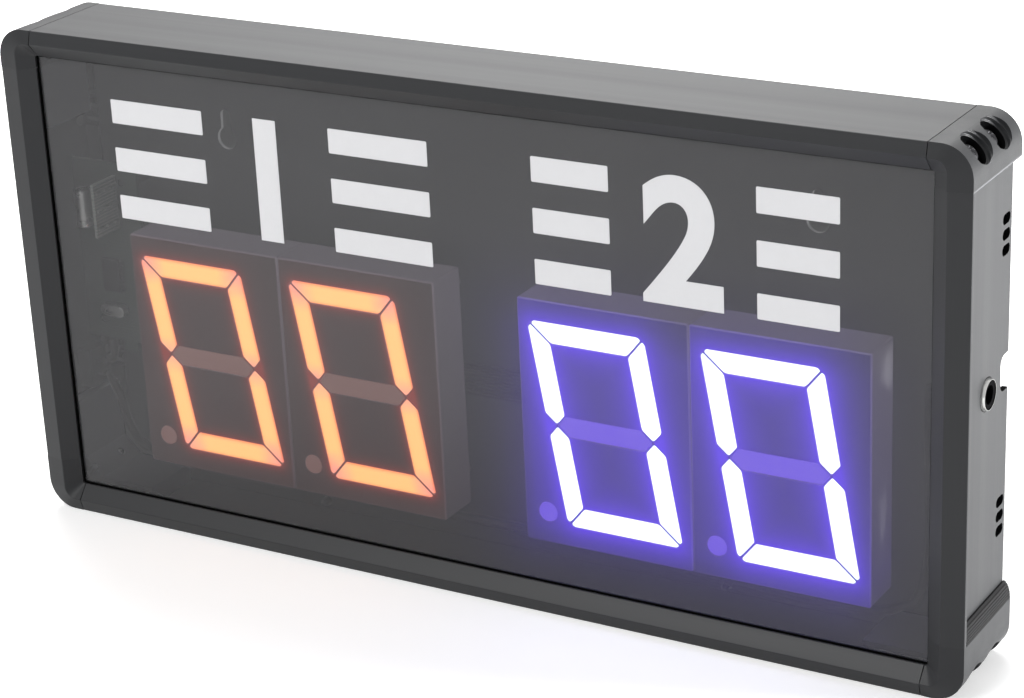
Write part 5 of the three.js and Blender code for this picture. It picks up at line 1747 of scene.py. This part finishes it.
class SCOREBOARD_OT_switch(bpy.types.Operator):
    """Makes the rocker switch."""
    bl_idname = "scoreboard.switch"
    bl_label = "Power Switch"

    def execute(self, context):
        plastic = moulded_plastic("black_nylon_switch", linear("#1d1d1f"), 0.45)
        finished(eased_copy("power_switch_body", SWITCH_EDGE_RADIUS), plastic,
                 ["power_switch_body"])
        glossy = moulded_plastic("gloss_nylon_rocker", linear("#1a1a1c"), 0.25, sheen=0.0)
        finished(eased_copy("power_rocker", ROCKER_EDGE_RADIUS), glossy, ["power_rocker"], "rocker")
        return {"FINISHED"}


class SCOREBOARD_OT_cover(bpy.types.Operator):
    """Finishes the back cover."""
    bl_idname = "scoreboard.cover"
    bl_label = "Back Cover"

    def execute(self, context):
        settings = context.scene.scoreboard_case
        coat = powder_coat("powder_coated_steel_sheet", settings.cover_colour)
        finished(eased_copy("back_cover", settings.cover_edge_radius), coat, ["back_cover"])
        return {"FINISHED"}


class SCOREBOARD_OT_leads(bpy.types.Operator):
    """Finishes the leads inside the case."""
    bl_idname = "scoreboard.leads"
    bl_label = "Leads"

    def execute(self, context):
        jacket = moulded_plastic("pvc_lead_jacket", linear("#1a1a1b"), 0.5, sheen=0.0)
        grey = moulded_plastic("pvc_ribbon", linear("#2b2b2e"), 0.5, sheen=0.0)
        for node in ("power_lead", "switch_lead"):
            finished(eased_copy(node, LEAD_EDGE_RADIUS, degrees=80), jacket, [node])
        for node, boards in RIBBONS.items():
            finished(shade(self.ribbon(node, boards, grey)), grey, [node])
        return {"FINISHED"}

    def ribbon(self, node, boards, material):
        """A ribbon cable from the header of one board to that of the next, along the back."""
        low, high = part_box(node)
        back = high.y - WIRE_RADIUS
        ends = [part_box(board)[1].y + GAP for board in boards]
        z = (low.z + high.z) / 2
        places = [(low.x + WIRE_RADIUS, ends[0]), (low.x + WIRE_RADIUS, back),
                  (high.x - WIRE_RADIUS, back), (high.x - WIRE_RADIUS, ends[1])]
        curve = bpy.data.curves.new(node, "CURVE")
        curve.dimensions = "3D"
        spline = curve.splines.new("POLY")
        spline.points.add(len(places) - 1)
        for point, (x, y) in zip(spline.points, places):
            point.co = (x, y, z, 1)
        return grown(linked(node + "_wires", curve), tree_named("ribbon_of_wires", ribbon_tree), {
            "Wires": RIBBON_WIRES, "Pitch": RIBBON_PITCH, "Wire Radius": WIRE_RADIUS, "Sides": WIRE_SIDES,
            "Bend Radius": RIBBON_BEND, "Bend Steps": EASE_STEPS, "Material": material})


class SCOREBOARD_PT_panel(bpy.types.Panel):
    """Lists the scoreboard's settings and the steps that make it."""
    bl_label = "Scoreboard"
    bl_idname = "SCOREBOARD_PT_panel"
    bl_space_type = "VIEW_3D"
    bl_region_type = "UI"
    bl_category = "Scoreboard"

    def draw(self, context):
        for group in (context.scene.scoreboard_case, context.scene.scoreboard_display,
                      context.scene.scoreboard_stage):
            box = self.layout.box()
            for name in group.bl_rna.properties.keys():
                if name not in ("rna_type", "name"):
                    box.prop(group, name)
        for step in STEPS:
            self.layout.operator(f"scoreboard.{step}")


GROUPS = {
    "scoreboard_case": ScoreboardCase,
    "scoreboard_display": ScoreboardDisplay,
    "scoreboard_stage": ScoreboardStage,
}
STEPS = ("stage", "rails", "corners", "screws", "panel", "digits", "controller", "socket", "switch",
         "cover", "leads")
CLASSES = (
    *GROUPS.values(), SCOREBOARD_OT_stage, SCOREBOARD_OT_rails, SCOREBOARD_OT_corners, SCOREBOARD_OT_screws,
    SCOREBOARD_OT_panel, SCOREBOARD_OT_digits, SCOREBOARD_OT_controller, SCOREBOARD_OT_socket,
    SCOREBOARD_OT_switch, SCOREBOARD_OT_cover, SCOREBOARD_OT_leads, SCOREBOARD_PT_panel,
)


def register():
    """Registers the classes and hangs the settings on the scene."""
    for kind in CLASSES:
        bpy.utils.register_class(kind)
    for name, group in GROUPS.items():
        setattr(bpy.types.Scene, name, bpy.props.PointerProperty(type=group))


def unregister():
    """Takes the settings and the classes away again."""
    for name in GROUPS:
        delattr(bpy.types.Scene, name)
    for kind in reversed(CLASSES):
        bpy.utils.unregister_class(kind)


def main():
    """Makes the scoreboard step by step."""
    register()
    for step in STEPS:
        getattr(bpy.ops.scoreboard, step)()


if __name__ == "__main__":
    main()
